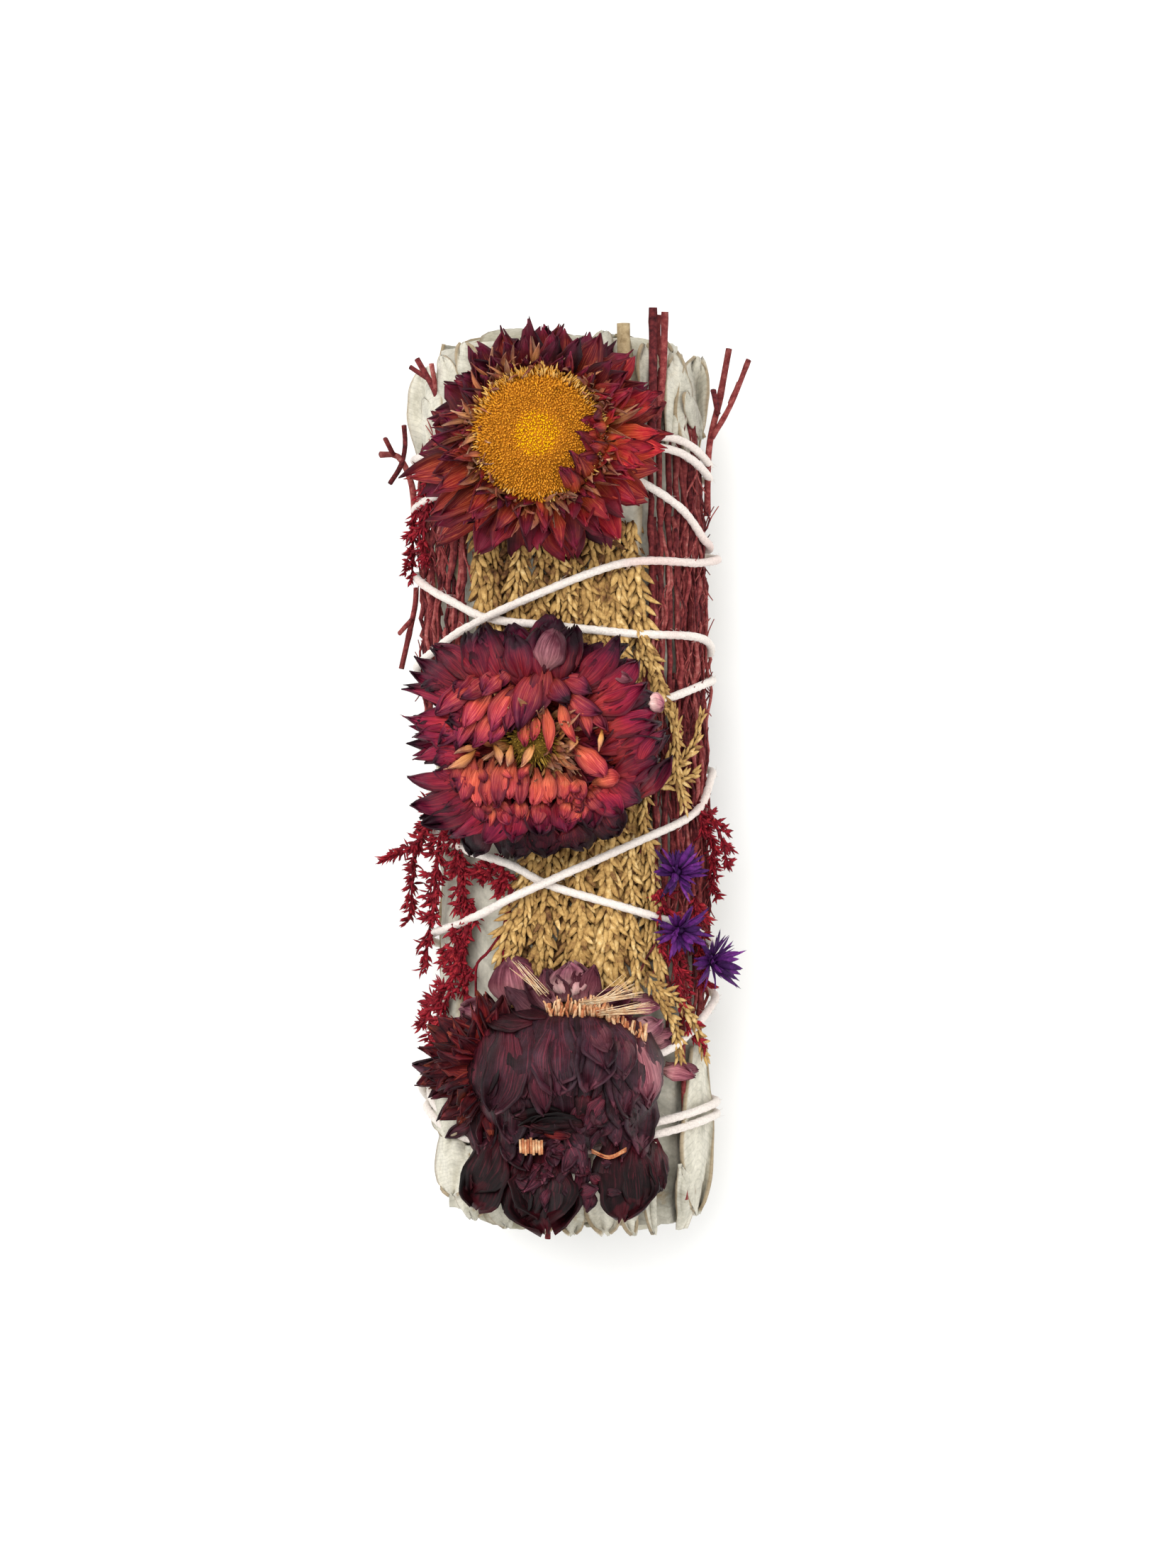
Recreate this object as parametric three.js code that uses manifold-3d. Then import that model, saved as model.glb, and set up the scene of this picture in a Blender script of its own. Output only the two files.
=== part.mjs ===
// A small bundle of dried white sage tied with cotton cord. On its front lie sprays of dried cedar,
// red dyed filler stems with florets, purple blossoms and three everlasting flowers.
// Millimetres. The bundle lies on its back: +Y runs to its tips, +X is its right side, +Z its front.
import * as THREE from "three";
import { mergeVertices } from "three/addons/utils/BufferGeometryUtils.js";
import Module from "manifold-3d";

const wasm = await Module();
wasm.setup();

// Driving dimensions of the bundle
const rollEnds = { base: -49.5, tip: 48 };
const leafEnds = { base: -53, tip: 51.5 };
const rollHalfWidth = 13.5;
const heightShare = 0.86;
const flatness = 2.35;
const cordRadius = 0.48;
const pressDepth = 0.3;

// Heights of the layers over the rolled inner leaves. The cord and the flowers lie on the stems in
// front, and closer in where there are none.
const leafRise = 0.35;
const leafThickness = 0.6;
const stemRise = 2.75;
const barePlace = { flower: 2.4, cord: 2.93 };
const coveredPlace = { flower: 3.45, cord: 3.95 };

// Room kept between pieces that lie against each other
const clearance = 0.28;
const weldDistance = 1e-3;
const cleanDistance = 0.04;
const smallLeafFineness = 0.11;

const up = new THREE.Vector3(0, 0, 1);
const radians = THREE.MathUtils.degToRad;
const { lerp, smoothstep } = THREE.MathUtils;

// A repeatable random generator: next(low, high) gives a number between the two.
function seeded(seed) {
  let state = seed;
  return (low, high) => {
    state = (state + 0x6d2b79f5) | 0;
    let mixed = Math.imul(state ^ (state >>> 15), 1 | state);
    mixed = (mixed + Math.imul(mixed ^ (mixed >>> 7), 61 | mixed)) ^ mixed;
    return low + ((high - low) * ((mixed ^ (mixed >>> 14)) >>> 0)) / 4294967296;
  };
}

// The bundle's form: nearly round, pressed flatter where it lies.
const middleX = (y) => 0.1 - 0.012 * y;
const cordHalfWidth = rollHalfWidth + coveredPlace.cord;
const cordHalfHeight = heightShare * cordHalfWidth;
const middleZ = cordHalfHeight - coveredPlace.cord + barePlace.cord + cordRadius - pressDepth;

// The point at an angle round the bundle (0 in front, + to the right), a place along it and a rise.
function bundlePoint(angle, y, rise) {
  const across = Math.sin(radians(angle));
  const facing = Math.cos(radians(angle));
  const drop = rise - coveredPlace.cord;
  const depth = facing < 0 ? -((1 - Math.abs(across) ** flatness) ** (1 / flatness)) : facing;
  return new THREE.Vector3(
    middleX(y) + (cordHalfWidth + drop) * across,
    y,
    middleZ + (cordHalfHeight + drop) * depth,
  );
}

// How far cedar and stems cover the leaves at an angle and a place along the bundle, from 0 to 1.
function cover(angle, y) {
  const turn = THREE.MathUtils.euclideanModulo(angle + 180, 360) - 180;
  const front = smoothstep(turn, -102, -90) * (1 - smoothstep(turn, 92, 106));
  const bareLeft = (1 - smoothstep(turn, -48, -38)) * (1 - smoothstep(y, 0, 6));
  const bareBase = (1 - smoothstep(turn, 26, 38)) * (1 - smoothstep(y, -34, -28));
  return front * (1 - bareLeft) * (1 - bareBase);
}

const riseOn = (angle, y, layer) => lerp(barePlace[layer], coveredPlace[layer], cover(angle, y));

// The way out of the bundle at a point on it.
function outward(point) {
  return new THREE.Vector3(
    (point.x - middleX(point.y)) * heightShare,
    0,
    (point.z - middleZ) / heightShare,
  ).normalize();
}

// A closed solid from a closed geometry, with its faces turned outward.
function solidOf(geometry) {
  const bare = new THREE.BufferGeometry();
  bare.setAttribute("position", geometry.attributes.position);
  bare.setIndex(geometry.index);
  const welded = mergeVertices(bare, weldDistance);
  const corners = welded.index.array;
  const kept = [];
  for (let i = 0; i < corners.length; i += 3) {
    const [a, b, c] = [corners[i], corners[i + 1], corners[i + 2]];
    if (a !== b && b !== c && c !== a) kept.push(a, b, c);
  }
  const build = () =>
    new wasm.Manifold(
      new wasm.Mesh({
        numProp: 3,
        vertProperties: new Float32Array(welded.attributes.position.array),
        triVerts: Uint32Array.from(kept),
      }),
    );
  const solid = build();
  if (solid.volume() > 0) return solid;
  kept.reverse();
  return build();
}

// Moves every corner of a geometry to where place(corner) says.
function bent(geometry, place) {
  const position = geometry.attributes.position;
  for (let i = 0; i < position.count; i += 1) {
    const moved = place(new THREE.Vector3().fromBufferAttribute(position, i));
    position.setXYZ(i, moved.x, moved.y, moved.z);
  }
  return geometry;
}

const joined = (solids) => wasm.Manifold.union(solids);

// The largest body of a solid, with the slivers that a cut leaves taken out.
function largestBody(solid, fineness) {
  const bodies = solid.asOriginal().simplify(fineness).decompose();
  return bodies.sort((a, b) => b.volume() - a.volume())[0];
}

// A stem of even thickness along a curve through the points.
function stem(points, radius, sides, spacing) {
  const curve = new THREE.CatmullRomCurve3(points);
  const ring = new THREE.Shape();
  for (let i = 0; i < sides; i += 1) {
    const turn = (2 * Math.PI * i) / sides;
    if (i === 0) ring.moveTo(radius, 0);
    else ring.lineTo(radius * Math.cos(turn), radius * Math.sin(turn));
  }
  const steps = Math.max(1, Math.round(curve.getLength() / spacing));
  return solidOf(new THREE.ExtrudeGeometry(ring, { steps, bevelEnabled: false, extrudePath: curve }));
}

// A thin slab with the same triangles on both faces: x and y run from -0.5 to 0.5, z is 1 or -1.
function slab(columns, rows) {
  const face = new THREE.PlaneGeometry(1, 1, columns, rows);
  const count = face.attributes.position.count;
  const front = Array.from(face.attributes.position.array);
  const corners = [...front];
  for (let i = 0; i < count; i += 1) {
    corners[3 * i + 2] = 1;
    corners.push(front[3 * i], front[3 * i + 1], -1);
  }
  const triangles = Array.from(face.index.array);
  for (const corner of triangles.slice().reverse()) triangles.push(corner + count);
  const at = (column, row) => row * (columns + 1) + column;
  const rim = [];
  for (let i = 0; i < columns; i += 1) rim.push(at(i, 0));
  for (let i = 0; i < rows; i += 1) rim.push(at(columns, i));
  for (let i = columns; i > 0; i -= 1) rim.push(at(i, rows));
  for (let i = rows; i > 0; i -= 1) rim.push(at(0, i));
  rim.forEach((a, i) => {
    const b = rim[(i + 1) % rim.length];
    triangles.push(a, b, a + count, b, b + count, a + count);
  });
  const made = new THREE.BufferGeometry();
  made.setAttribute("position", new THREE.Float32BufferAttribute(corners, 3));
  made.setIndex(triangles);
  return made;
}

// A bract or petal along path(t): ridged along its middle, its width given by outline(t).
const ridged = 3;
const ridgedHalf = Math.sin(Math.PI / 3);

function blade(path, { width, thickness, cup, outline, steps }, grow) {
  const body = new THREE.CylinderGeometry(1, 1, 1, ridged, steps);
  return solidOf(
    bent(body, (corner) => {
      const t = corner.y + 0.5;
      const at = path(t);
      const half = 0.5 * width * outline(t);
      const thick = 0.5 * thickness * (1 - t ** 4) + grow;
      const across = corner.x / ridgedHalf;
      const reach = t === 0 ? -grow : t === 1 ? grow : 0;
      const height = Math.sign(Math.round(2 * corner.z)) * thick + cup * half * across ** 2;
      return at.point
        .clone()
        .addScaledVector(at.tangent, reach)
        .addScaledVector(at.side, across * (half + 1.5 * grow))
        .addScaledVector(at.normal, height);
    }),
  );
}

// Outlines: half widths as shares, from root to tip.
const lance = (t) => (t < 1 ? Math.sin(Math.PI * (0.18 + 0.72 * t)) * (1 - t ** 5) : 0);
const spoon = (t) => (t < 1 ? Math.sqrt(1 - (t / 1.02) ** 6) * (0.5 + 0.5 * Math.sqrt(t)) : 0.25);

// The path of a bract of a flower head: it leaves the axis at an azimuth and bends by its curl.
function bractPath({ azimuth, start, height, pitch, curl, length }) {
  const outwards = new THREE.Vector3(Math.cos(azimuth), Math.sin(azimuth), 0);
  const side = new THREE.Vector3(-Math.sin(azimuth), Math.cos(azimuth), 0);
  const bend = Math.abs(curl) < 0.01 ? 0.01 : curl;
  return (t) => {
    const slope = pitch + bend * t;
    const reach = start + (length * (Math.sin(slope) - Math.sin(pitch))) / bend;
    const rise = height + (length * (Math.cos(pitch) - Math.cos(slope))) / bend;
    return {
      point: outwards.clone().multiplyScalar(reach).addScaledVector(up, rise),
      tangent: outwards.clone().multiplyScalar(Math.cos(slope)).addScaledVector(up, Math.sin(slope)),
      normal: outwards.clone().multiplyScalar(-Math.sin(slope)).addScaledVector(up, Math.cos(slope)),
      side,
    };
  };
}

// Rings of bracts. Each ring: count, start and height of the roots, pitch, curl, length, width.
function bracts(rings, { thickness, cup, outline, seed, stretch, sector }, grow) {
  const next = seeded(seed);
  const made = [];
  rings.forEach((ring, level) => {
    for (let i = 0; i < ring.count; i += 1) {
      const azimuth = (2 * Math.PI * (i + 0.5 * (level % 2) + next(-0.16, 0.16))) / ring.count;
      const path = bractPath({
        azimuth,
        start: ring.start,
        height: ring.height + next(-0.2, 0.2),
        pitch: radians(ring.pitch + next(-5, 5)),
        curl: radians(ring.curl + next(-8, 8)),
        length: ring.length * stretch(azimuth) * next(0.88, 1.1),
      });
      const width = ring.width * next(0.88, 1.1);
      const facing = THREE.MathUtils.euclideanModulo(THREE.MathUtils.radToDeg(azimuth), 360);
      if (facing < sector[0] || facing > sector[1]) continue;
      made.push(blade(path, { width, thickness, cup, outline, steps: 3 }, grow));
    }
  });
  return made;
}

// A turned solid from a profile of [radius, height] points that starts and ends on the axis.
function turned(profile, segments) {
  return solidOf(turnedGeometry(profile, segments));
}

function turnedGeometry(profile, segments) {
  const points = profile.map(([radius, height]) => new THREE.Vector2(radius, height));
  return new THREE.LatheGeometry(points, segments).rotateX(Math.PI / 2);
}

// The disc of a flower head: a low dome covered with the relief of its packed florets.
function disc(profile, { segments, relief }, grow) {
  const shape = turnedGeometry(profile, segments);
  const rim = profile[1][1] + 0.5;
  return solidOf(
    bent(shape, (corner) => {
      const radius = Math.hypot(corner.x, corner.y);
      const azimuth = Math.atan2(corner.y, corner.x);
      const onTop = radius > 0.1 && corner.z > rim;
      const puff = onTop ? relief * Math.sin((segments / 2) * azimuth + 5 * radius) : 0;
      const share = radius > 0.1 ? (radius + grow) / radius : 1;
      const lift = corner.z > rim ? grow : -grow;
      return new THREE.Vector3(corner.x * share, corner.y * share, corner.z + puff + lift);
    }),
  );
}

// The bundle's form under the flowers, which they are fitted to.
function underFlowers() {
  return solidOf(
    bent(new THREE.CylinderGeometry(1, 1, 1, 48, 24), (corner) => {
      const y = lerp(leafEnds.base, leafEnds.tip, corner.y + 0.5);
      const angle = THREE.MathUtils.radToDeg(Math.atan2(corner.x, corner.z));
      const onAxis = Math.hypot(corner.x, corner.z) < 0.5;
      if (onAxis) return new THREE.Vector3(middleX(y), y, middleZ);
      return bundlePoint(angle, y, riseOn(angle, y, "flower"));
    }),
  );
}

// Puts solids made about a flower's own axis onto the bundle.
function seated(solid, flower) {
  const turn = new THREE.Euler(...flower.lean.map(radians));
  const matrix = new THREE.Matrix4().makeRotationFromEuler(turn);
  matrix.setPosition(overFront(...flower.place));
  return solid.transform(matrix.elements);
}

// The rolled inner leaves, with their folded ends standing out at both ends of the bundle.
const stalkPlaces = [[0.4, 0.2], [4.4, 1.6], [-3.9, 2.2], [-1.2, -4]];
const stalkRadius = 1.25;
const foldCount = 8;

// The leaves are drawn in a little where their two rows meet, and tucked in at both ends.
const drawnIn = (y) =>
  0.9 * Math.exp(-(((y + 4) / 9) ** 2)) + 1.3 * smoothstep(Math.abs(y + 0.75), 43, 53.5);

function innerLeaves(grow) {
  const next = seeded(11);
  const roll = solidOf(
    bent(new THREE.CylinderGeometry(1, 1, 1, 20, 8), (corner) => {
      const y = lerp(rollEnds.base, rollEnds.tip, smoothstep(corner.y, -0.5, 0.5));
      const radius = Math.hypot(corner.x, corner.z);
      const angle = THREE.MathUtils.radToDeg(Math.atan2(corner.x, corner.z));
      const edge = bundlePoint(angle, y, -0.05 - drawnIn(y) + grow);
      const axis = new THREE.Vector3(middleX(y), y, middleZ);
      return radius > 0 ? edge : axis;
    }),
  );
  const folds = [];
  for (const [end, way] of [[rollEnds.base, -1], [rollEnds.tip, 1]]) {
    for (let i = 0; i < foldCount; i += 1) {
      const angle = (360 * i) / foldCount + next(-12, 12);
      const rise = -next(1.6, 2.4) - (i % 3) * 2.4;
      const root = bundlePoint(angle, end - way * 1.5, rise);
      const axis = outward(root);
      const side = new THREE.Vector3(0, way, 0).cross(axis).normalize();
      const length = next(2.8, 4.2);
      const path = (t) => ({
        point: root.clone().add(new THREE.Vector3(0, way * length * t, 0)),
        tangent: new THREE.Vector3(0, way, 0),
        side,
        normal: axis,
      });
      const form = { width: next(5, 7), thickness: 1.5, cup: -0.3, outline: spoon, steps: 2 };
      folds.push(blade(path, form, grow));
    }
  }
  return joined([roll, ...folds]);
}

function stalk(place, grow) {
  const [x, z] = place;
  const points = [leafEnds.base + 1.2, -20, 15, leafEnds.tip - 1.4].map((y, i) =>
    new THREE.Vector3(middleX(y) + x + 0.3 * Math.sin(i + x), y, middleZ + z),
  );
  points[0].y -= grow;
  points[3].y += grow;
  return stem(points, stalkRadius + grow, 6, 34);
}

// The outer leaves lie in two rows, each leaf with one long edge under the next one's.
const leavesRound = 8;
const leafHalfWidth = 6.9;
const leafClimb = 0.085;
const rowLift = 1;
const closerRows = 1.5;
const leafRows = {
  base: { from: leafEnds.base, to: 5.5, lift: true },
  tip: { from: -6, to: leafEnds.tip, lift: false },
};

function outerLeaf(row, index, grow) {
  const { from, to, lift } = leafRows[row];
  const next = seeded(100 + index * 7 + (lift ? 3 : 0));
  const ends = [from + (lift ? next(-0.4, 1.8) : next(-1, 1)), to + (lift ? next(-1, 1) : next(-2.2, 0.4))];
  const phase = next(0, 6);
  const narrow = lift ? (t) => 1 - t : (t) => t;
  return solidOf(
    bent(slab(3, 6), (corner) => {
      const t = lift ? (corner.y + 0.5) ** closerRows : 1 - (0.5 - corner.y) ** closerRows;
      const y = lerp(ends[0] - grow, ends[1] + grow, t);
      const taper = smoothstep(narrow(t), 0, 0.42);
      const blunt = 1 - 0.3 * smoothstep(1 - narrow(t), 0.86, 1);
      const half = (0.7 + leafHalfWidth * taper - 0.7 * taper) * blunt;
      const wave = Math.abs(corner.x) > 0.4 ? 0.45 * Math.sin(9 * t + phase + 3 * corner.x) * taper : 0;
      const lateral = 2 * corner.x * (half + grow) + wave;
      const angle = -36 + (360 * index) / leavesRound;
      const turn = THREE.MathUtils.radToDeg(lateral / (rollHalfWidth + 1));
      const over = lift ? rowLift * smoothstep(y, -13, -7.5) : 0;
      const layer = leafRise + leafClimb * (lateral + leafHalfWidth) + over - drawnIn(y);
      return bundlePoint(angle + turn, y, layer + (corner.z > 0 ? leafThickness + grow : -grow));
    }),
  );
}

// A cut sage stalk that shows among the leaves at the tips.
const frontStalk = { angle: 27, from: 40, to: 52.4, radius: 0.75 };

function cutStalk(grow) {
  const { angle, from, to, radius } = frontStalk;
  const rise = stemRise + 0.2;
  const points = [from - grow, (from + to) / 2, to + grow].map((y) => bundlePoint(angle, y, rise));
  return stem(points, radius + grow, 6, 8);
}

// Cedar: flat twigs of scale leaves, laid side by side with their tips to the base of the bundle.
const cedarWidth = 1.66;
const cedarFlatness = 0.46;
const scaleLength = 2.8;

function scaledTwig(points, grow) {
  const curve = new THREE.CatmullRomCurve3(points);
  const scales = Math.max(2, Math.round(curve.getLength() / scaleLength));
  const body = new THREE.CylinderGeometry(1, 1, 1, ridged, 2 * scales);
  return solidOf(
    bent(body, (corner) => {
      const ring = Math.round((corner.y + 0.5) * 2 * scales);
      const scale = Math.floor(ring / 2);
      const wide = ring % 2 === 1;
      const t = Math.min(1, (scale + (wide ? 0.72 : 0)) / scales);
      const point = curve.getPointAt(t);
      const tangent = curve.getTangentAt(t);
      const normal = outward(point);
      const side = new THREE.Vector3().crossVectors(tangent, normal).normalize();
      const tip = ring === 2 * scales ? 0.12 : 1;
      const half = 0.5 * cedarWidth * (wide ? 1 : 0.62) * tip + grow;
      const shift = wide ? 0.16 * (scale % 2 === 0 ? 1 : -1) : 0;
      const end = ring === 0 ? -grow : ring === 2 * scales ? grow : 0;
      return point
        .addScaledVector(side, (corner.x / ridgedHalf) * half + shift)
        .addScaledVector(normal, Math.sign(Math.round(2 * corner.z)) * (half * cedarFlatness + 0.06))
        .addScaledVector(tangent, end);
    }),
  );
}

// A cedar spray: twigs [angle at the root, angle at the tip, y of the tip] off one cross twig.
function cedarSpray({ rootY, twigs }, grow) {
  const made = twigs.map(([rootAngle, tipAngle, tipY]) => {
    const points = [0, 0.35, 0.7, 1].map((t) => {
      const angle = lerp(rootAngle, tipAngle, t ** 1.5);
      return bundlePoint(angle, lerp(rootY, tipY, t), stemRise - 0.08 + 0.1 * Math.sin(3 * t + rootAngle));
    });
    return scaledTwig(points, grow);
  });
  const angles = twigs.map((twig) => twig[0]);
  const cross = [angles[0] - 1, (angles[0] + angles.at(-1)) / 2, angles.at(-1) + 1].map((angle) =>
    bundlePoint(angle, rootY - 0.5, stemRise),
  );
  return joined([...made, stem(cross, 0.42 + grow, 5, 3.2)]);
}

const cedarSprays = {
  cedar_spray_upper_left: {
    rootY: 29.5,
    twigs: [[-35.5, -36, 8.5], [-28.5, -29.5, 9.5], [-22, -22.5, 8], [-15.2, -15.8, 9], [-8.6, -9, 8.2]],
  },
  cedar_spray_upper_right: {
    rootY: 29.5,
    twigs: [
      [-1.8, -2, 9], [5, 4.8, 8.2], [11.7, 11.6, 9.2], [18.3, 18.4, 8], [25, 25.6, 9], [31.2, 33.2, 10],
    ],
  },
  cedar_spray_lower_left: {
    rootY: -1,
    twigs: [[-14.5, -24, -20.5], [-9, -16, -23], [-3.4, -9.2, -26], [2.4, -2.4, -24.5]],
  },
  cedar_spray_lower_right: {
    rootY: -1,
    twigs: [[8, 4.4, -27.2], [14, 11.2, -25.5], [20, 18, -26.8], [26, 25, -25], [32, 32.5, -21.5]],
  },
};

// A loose cedar sprig whose twigs run through points of [x, y, rise].
const sprigs = {
  cedar_sprig_side: [
    [[10.4, -1.2, 3.55], [12.2, 1.5, 4], [13.1, 4.4, 4.5], [12.6, 6.9, 4.6]],
    [[10.8, -0.6, 3.7], [13.6, 1.2, 4.1], [15.2, 3.6, 4.4], [15.9, 6.2, 4.3]],
    [[10.7, -1.4, 3.8], [13, -0.9, 4.3], [14.8, -0.2, 4.4]],
  ],
  cedar_sprig_low: [
    [[9.6, -23.2, 3.9], [11.2, -26.5, 4.2], [12.9, -29.5, 4.2], [13.4, -32.6, 4]],
    [[10.1, -24.4, 4], [13, -26.4, 4.4], [15.3, -29.4, 4.3], [16.4, -32.8, 4]],
  ],
};

// The point over the bundle's front at x and y, at a rise.
function overFront(x, y, rise) {
  const reach = rollHalfWidth + rise;
  const across = THREE.MathUtils.clamp((x - middleX(y)) / reach, -1, 1);
  return bundlePoint(THREE.MathUtils.radToDeg(Math.asin(across)), y, rise);
}

function cedarSprig(twigs, grow) {
  return joined(twigs.map((points) => scaledTwig(points.map((point) => overFront(...point)), grow)));
}

// Red dyed stems: bunches of thin stems that lie along the bundle, crossed by a few of their branches.
const redStemBunches = {
  red_stems_right: {
    angles: [40, 45, 50, 55.5, 61, 66.5, 72, 78, 84],
    ends: [
      [47, -20], [53.6, -13], [41, -17], [39.5, -50], [43, -14],
      [38.5, -25], [41.5, -33], [38, -12], [36.5, -16],
    ],
    slant: 0,
    branches: [[38.5, 86, 33.5, 29.5]],
    seed: 21,
  },
  red_stems_left: {
    angles: [-88, -80, -71, -63, -54, -46],
    ends: [[38, 6], [36, 8.5], [37.5, 6.5], [34, 9], [36, 7], [31, 7.5]],
    slant: 0.28,
    branches: [[-90, -42, 29.5, 33]],
    seed: 22,
  },
};
const redStemRadius = 0.36;

function redStems({ angles, ends, slant, branches, seed }, grow) {
  const next = seeded(seed);
  const made = angles.map((angle, i) => {
    const [top, bottom] = ends[i];
    const sway = next(0.2, 0.45);
    const phase = next(0, 6);
    const points = [0, 0.25, 0.5, 0.75, 1].map((t) => {
      const y = lerp(top + grow, bottom - grow, t);
      const drift = slant * (y - 22) + sway * Math.sin(5 * t + phase);
      return bundlePoint(angle + drift, y, stemRise);
    });
    return stem(points, redStemRadius + grow, 4, 17);
  });
  const crossing = branches.map(([fromAngle, toAngle, fromY, toY]) => {
    const points = [0, 0.5, 1].map((t) =>
      bundlePoint(lerp(fromAngle, toAngle, t), lerp(fromY, toY, t), stemRise),
    );
    return stem(points, 0.3 + grow, 4, 4.5);
  });
  return joined([...made, ...crossing]);
}

// Loose twigs that stand out of the bundle, as lists of branches through points.
const looseTwigs = {
  red_twigs_tip: {
    radius: 0.55,
    branches: [
      [[10.3, 54.25, 26.6], [10.3, 47, 26.3], [10.2, 39.5, 26.2]],
      [[11.7, 53.8, 26], [11.5, 47, 25.6], [10.9, 41.5, 25.8]],
      [[10, 40.5, 26.3], [11, 42.2, 25.9], [11.6, 43.4, 25.6]],
    ],
  },
  red_twigs_right: {
    radius: 0.42,
    branches: [
      [[19.4, 50, 19], [18.3, 44, 17.6], [17.1, 38.4, 16.4], [16.9, 30.5, 15]],
      [[21.6, 48.5, 21.6], [19.6, 43.5, 19.2], [17.4, 39.6, 16.8]],
      [[17.5, 45, 20], [18.1, 42.4, 17.6]],
      [[20.6, 46, 18.6], [19.5, 43.5, 19.1]],
    ],
  },
  red_twigs_left: {
    radius: 0.4,
    branches: [
      [[-21.7, 37.6, 18], [-19.6, 37.4, 16.6], [-18.1, 34.2, 15.2], [-17.8, 30, 14.6]],
      [[-20.5, 34.2, 18.6], [-19.3, 36.4, 16.5], [-18.8, 38.7, 17], [-18.9, 41, 18]],
      [[-21.1, 39.4, 19], [-20.2, 37.6, 17.1]],
    ],
  },
  red_twigs_tip_left: {
    radius: 0.38,
    branches: [
      [[-13.7, 40.5, 21.4], [-15, 44.5, 21.2], [-17.3, 48.7, 20.8]],
      [[-15, 44.6, 21.1], [-15.6, 48, 22.2]],
      [[-16.1, 46.4, 20.9], [-18.1, 47.8, 19.6]],
    ],
  },
  red_twigs_left_low: {
    radius: 0.36,
    branches: [
      [[-19.3, 12.4, 15.4], [-18.3, 17, 14.6], [-17.7, 20, 14], [-17.6, 22, 13.6]],
      [[-18.1, 18.2, 14.5], [-19.5, 16.5, 16.4]],
    ],
  },
  red_tips_base: {
    radius: 0.34,
    branches: [
      [[-1.4, -46.5, 28], [-1.7, -51, 27.3], [-1.9, -54.18, 26.4]],
      [[-1.6, -50, 27.5], [-2.9, -52.4, 26.9]],
      [[-1.6, -50.6, 27.4], [-0.6, -53.2, 26.6]],
    ],
  },
};

function looseTwig({ radius, branches }, grow) {
  const thick = radius + grow;
  return joined(
    branches.map((points, i) =>
      stem(points.map((point) => new THREE.Vector3(...point)), i === 0 ? thick : thick * 0.8, 4, 5),
    ),
  );
}

// Red florets: pointed buds on short branchlets along a stem through points of [x, y, rise].
const floretSprays = {
  red_florets_left_upper: {
    stem: [[-15.9, 35.4, 3.7], [-17.3, 31.5, 3.8], [-17.8, 28, 4], [-18, 24.4, 4.1]],
    branchlets: 8, reach: 2.6, side: -1, seed: 31, beside: ["red_twigs_left", "red_twigs_left_low"],
  },
  red_florets_left_middle: {
    stem: [[-13.4, -3.2, 3.4], [-15.4, -8.5, 3.1], [-16, -13, 3.1], [-16.2, -17.4, 3.3]],
    branchlets: 10, reach: 3.6, side: 0, seed: 32, beside: [],
  },
  red_florets_left_lower: {
    stem: [[-7.4, -17, 3], [-10, -21.5, 2.9], [-12.8, -26.5, 2.9], [-15.2, -31.5, 3.1]],
    branchlets: 8, reach: 2.8, side: 0, seed: 33, beside: [],
  },
  red_florets_right_middle: {
    stem: [[15.8, -3.4, 3.8], [17, -6.5, 4.1], [17.6, -9.6, 4.4], [17.6, -14, 4.2]],
    branchlets: 6, reach: 3, side: 1, seed: 34, beside: [],
  },
  red_florets_right_lower: {
    stem: [[11.3, -14.4, 4], [12.2, -19, 3.9], [13.4, -24.5, 4], [15.4, -30, 4]],
    branchlets: 8, reach: 2.2, side: 0, seed: 35, beside: ["cedar_sprig_low"],
  },
};
const floretStemRadius = 0.34;
const spikeletOutline = [0.28, 0.62, 0.3, 0.66, 0];

// A spikelet: two florets one behind the other, closing to a point.
function spikelet(root, direction, length, grow) {
  const across = new THREE.Vector3().crossVectors(direction, up).normalize();
  const above = new THREE.Vector3().crossVectors(across, direction).normalize();
  const last = spikeletOutline.length - 1;
  return solidOf(
    bent(new THREE.CylinderGeometry(1, 1, 1, 3, last), (corner) => {
      const t = corner.y + 0.5;
      const radius = spikeletOutline[Math.round(t * last)] + grow;
      return root
        .clone()
        .addScaledVector(direction, lerp(-grow, length + grow, t))
        .addScaledVector(across, corner.x * radius)
        .addScaledVector(above, corner.z * radius);
    }),
  );
}

function floretSpray({ stem: stemPoints, branchlets, reach, side, seed }, grow) {
  const next = seeded(seed);
  const curve = new THREE.CatmullRomCurve3(stemPoints.map((point) => overFront(...point)));
  const made = [stem(curve.points, floretStemRadius + grow, 4, 5.5)];
  for (let i = 0; i < branchlets; i += 1) {
    const t = (i + 0.8) / branchlets;
    const root = curve.getPointAt(Math.min(t, 1));
    const tangent = curve.getTangentAt(Math.min(t, 1));
    const normal = outward(root);
    const across = new THREE.Vector3().crossVectors(normal, tangent);
    const inTurn = i % 2 === 0 ? 1 : -1;
    const outer = side * (i % 3 === 2 ? -0.6 : 1) * -Math.sign(across.x);
    const way = side === 0 ? inTurn : outer;
    const direction = tangent
      .clone()
      .multiplyScalar(next(0.5, 0.9))
      .addScaledVector(across, way * next(0.5, 0.9))
      .addScaledVector(normal, next(0.05, 0.45))
      .normalize();
    made.push(spikelet(root, direction, reach * next(1, 1.5), grow));
  }
  return joined(made);
}

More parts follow.
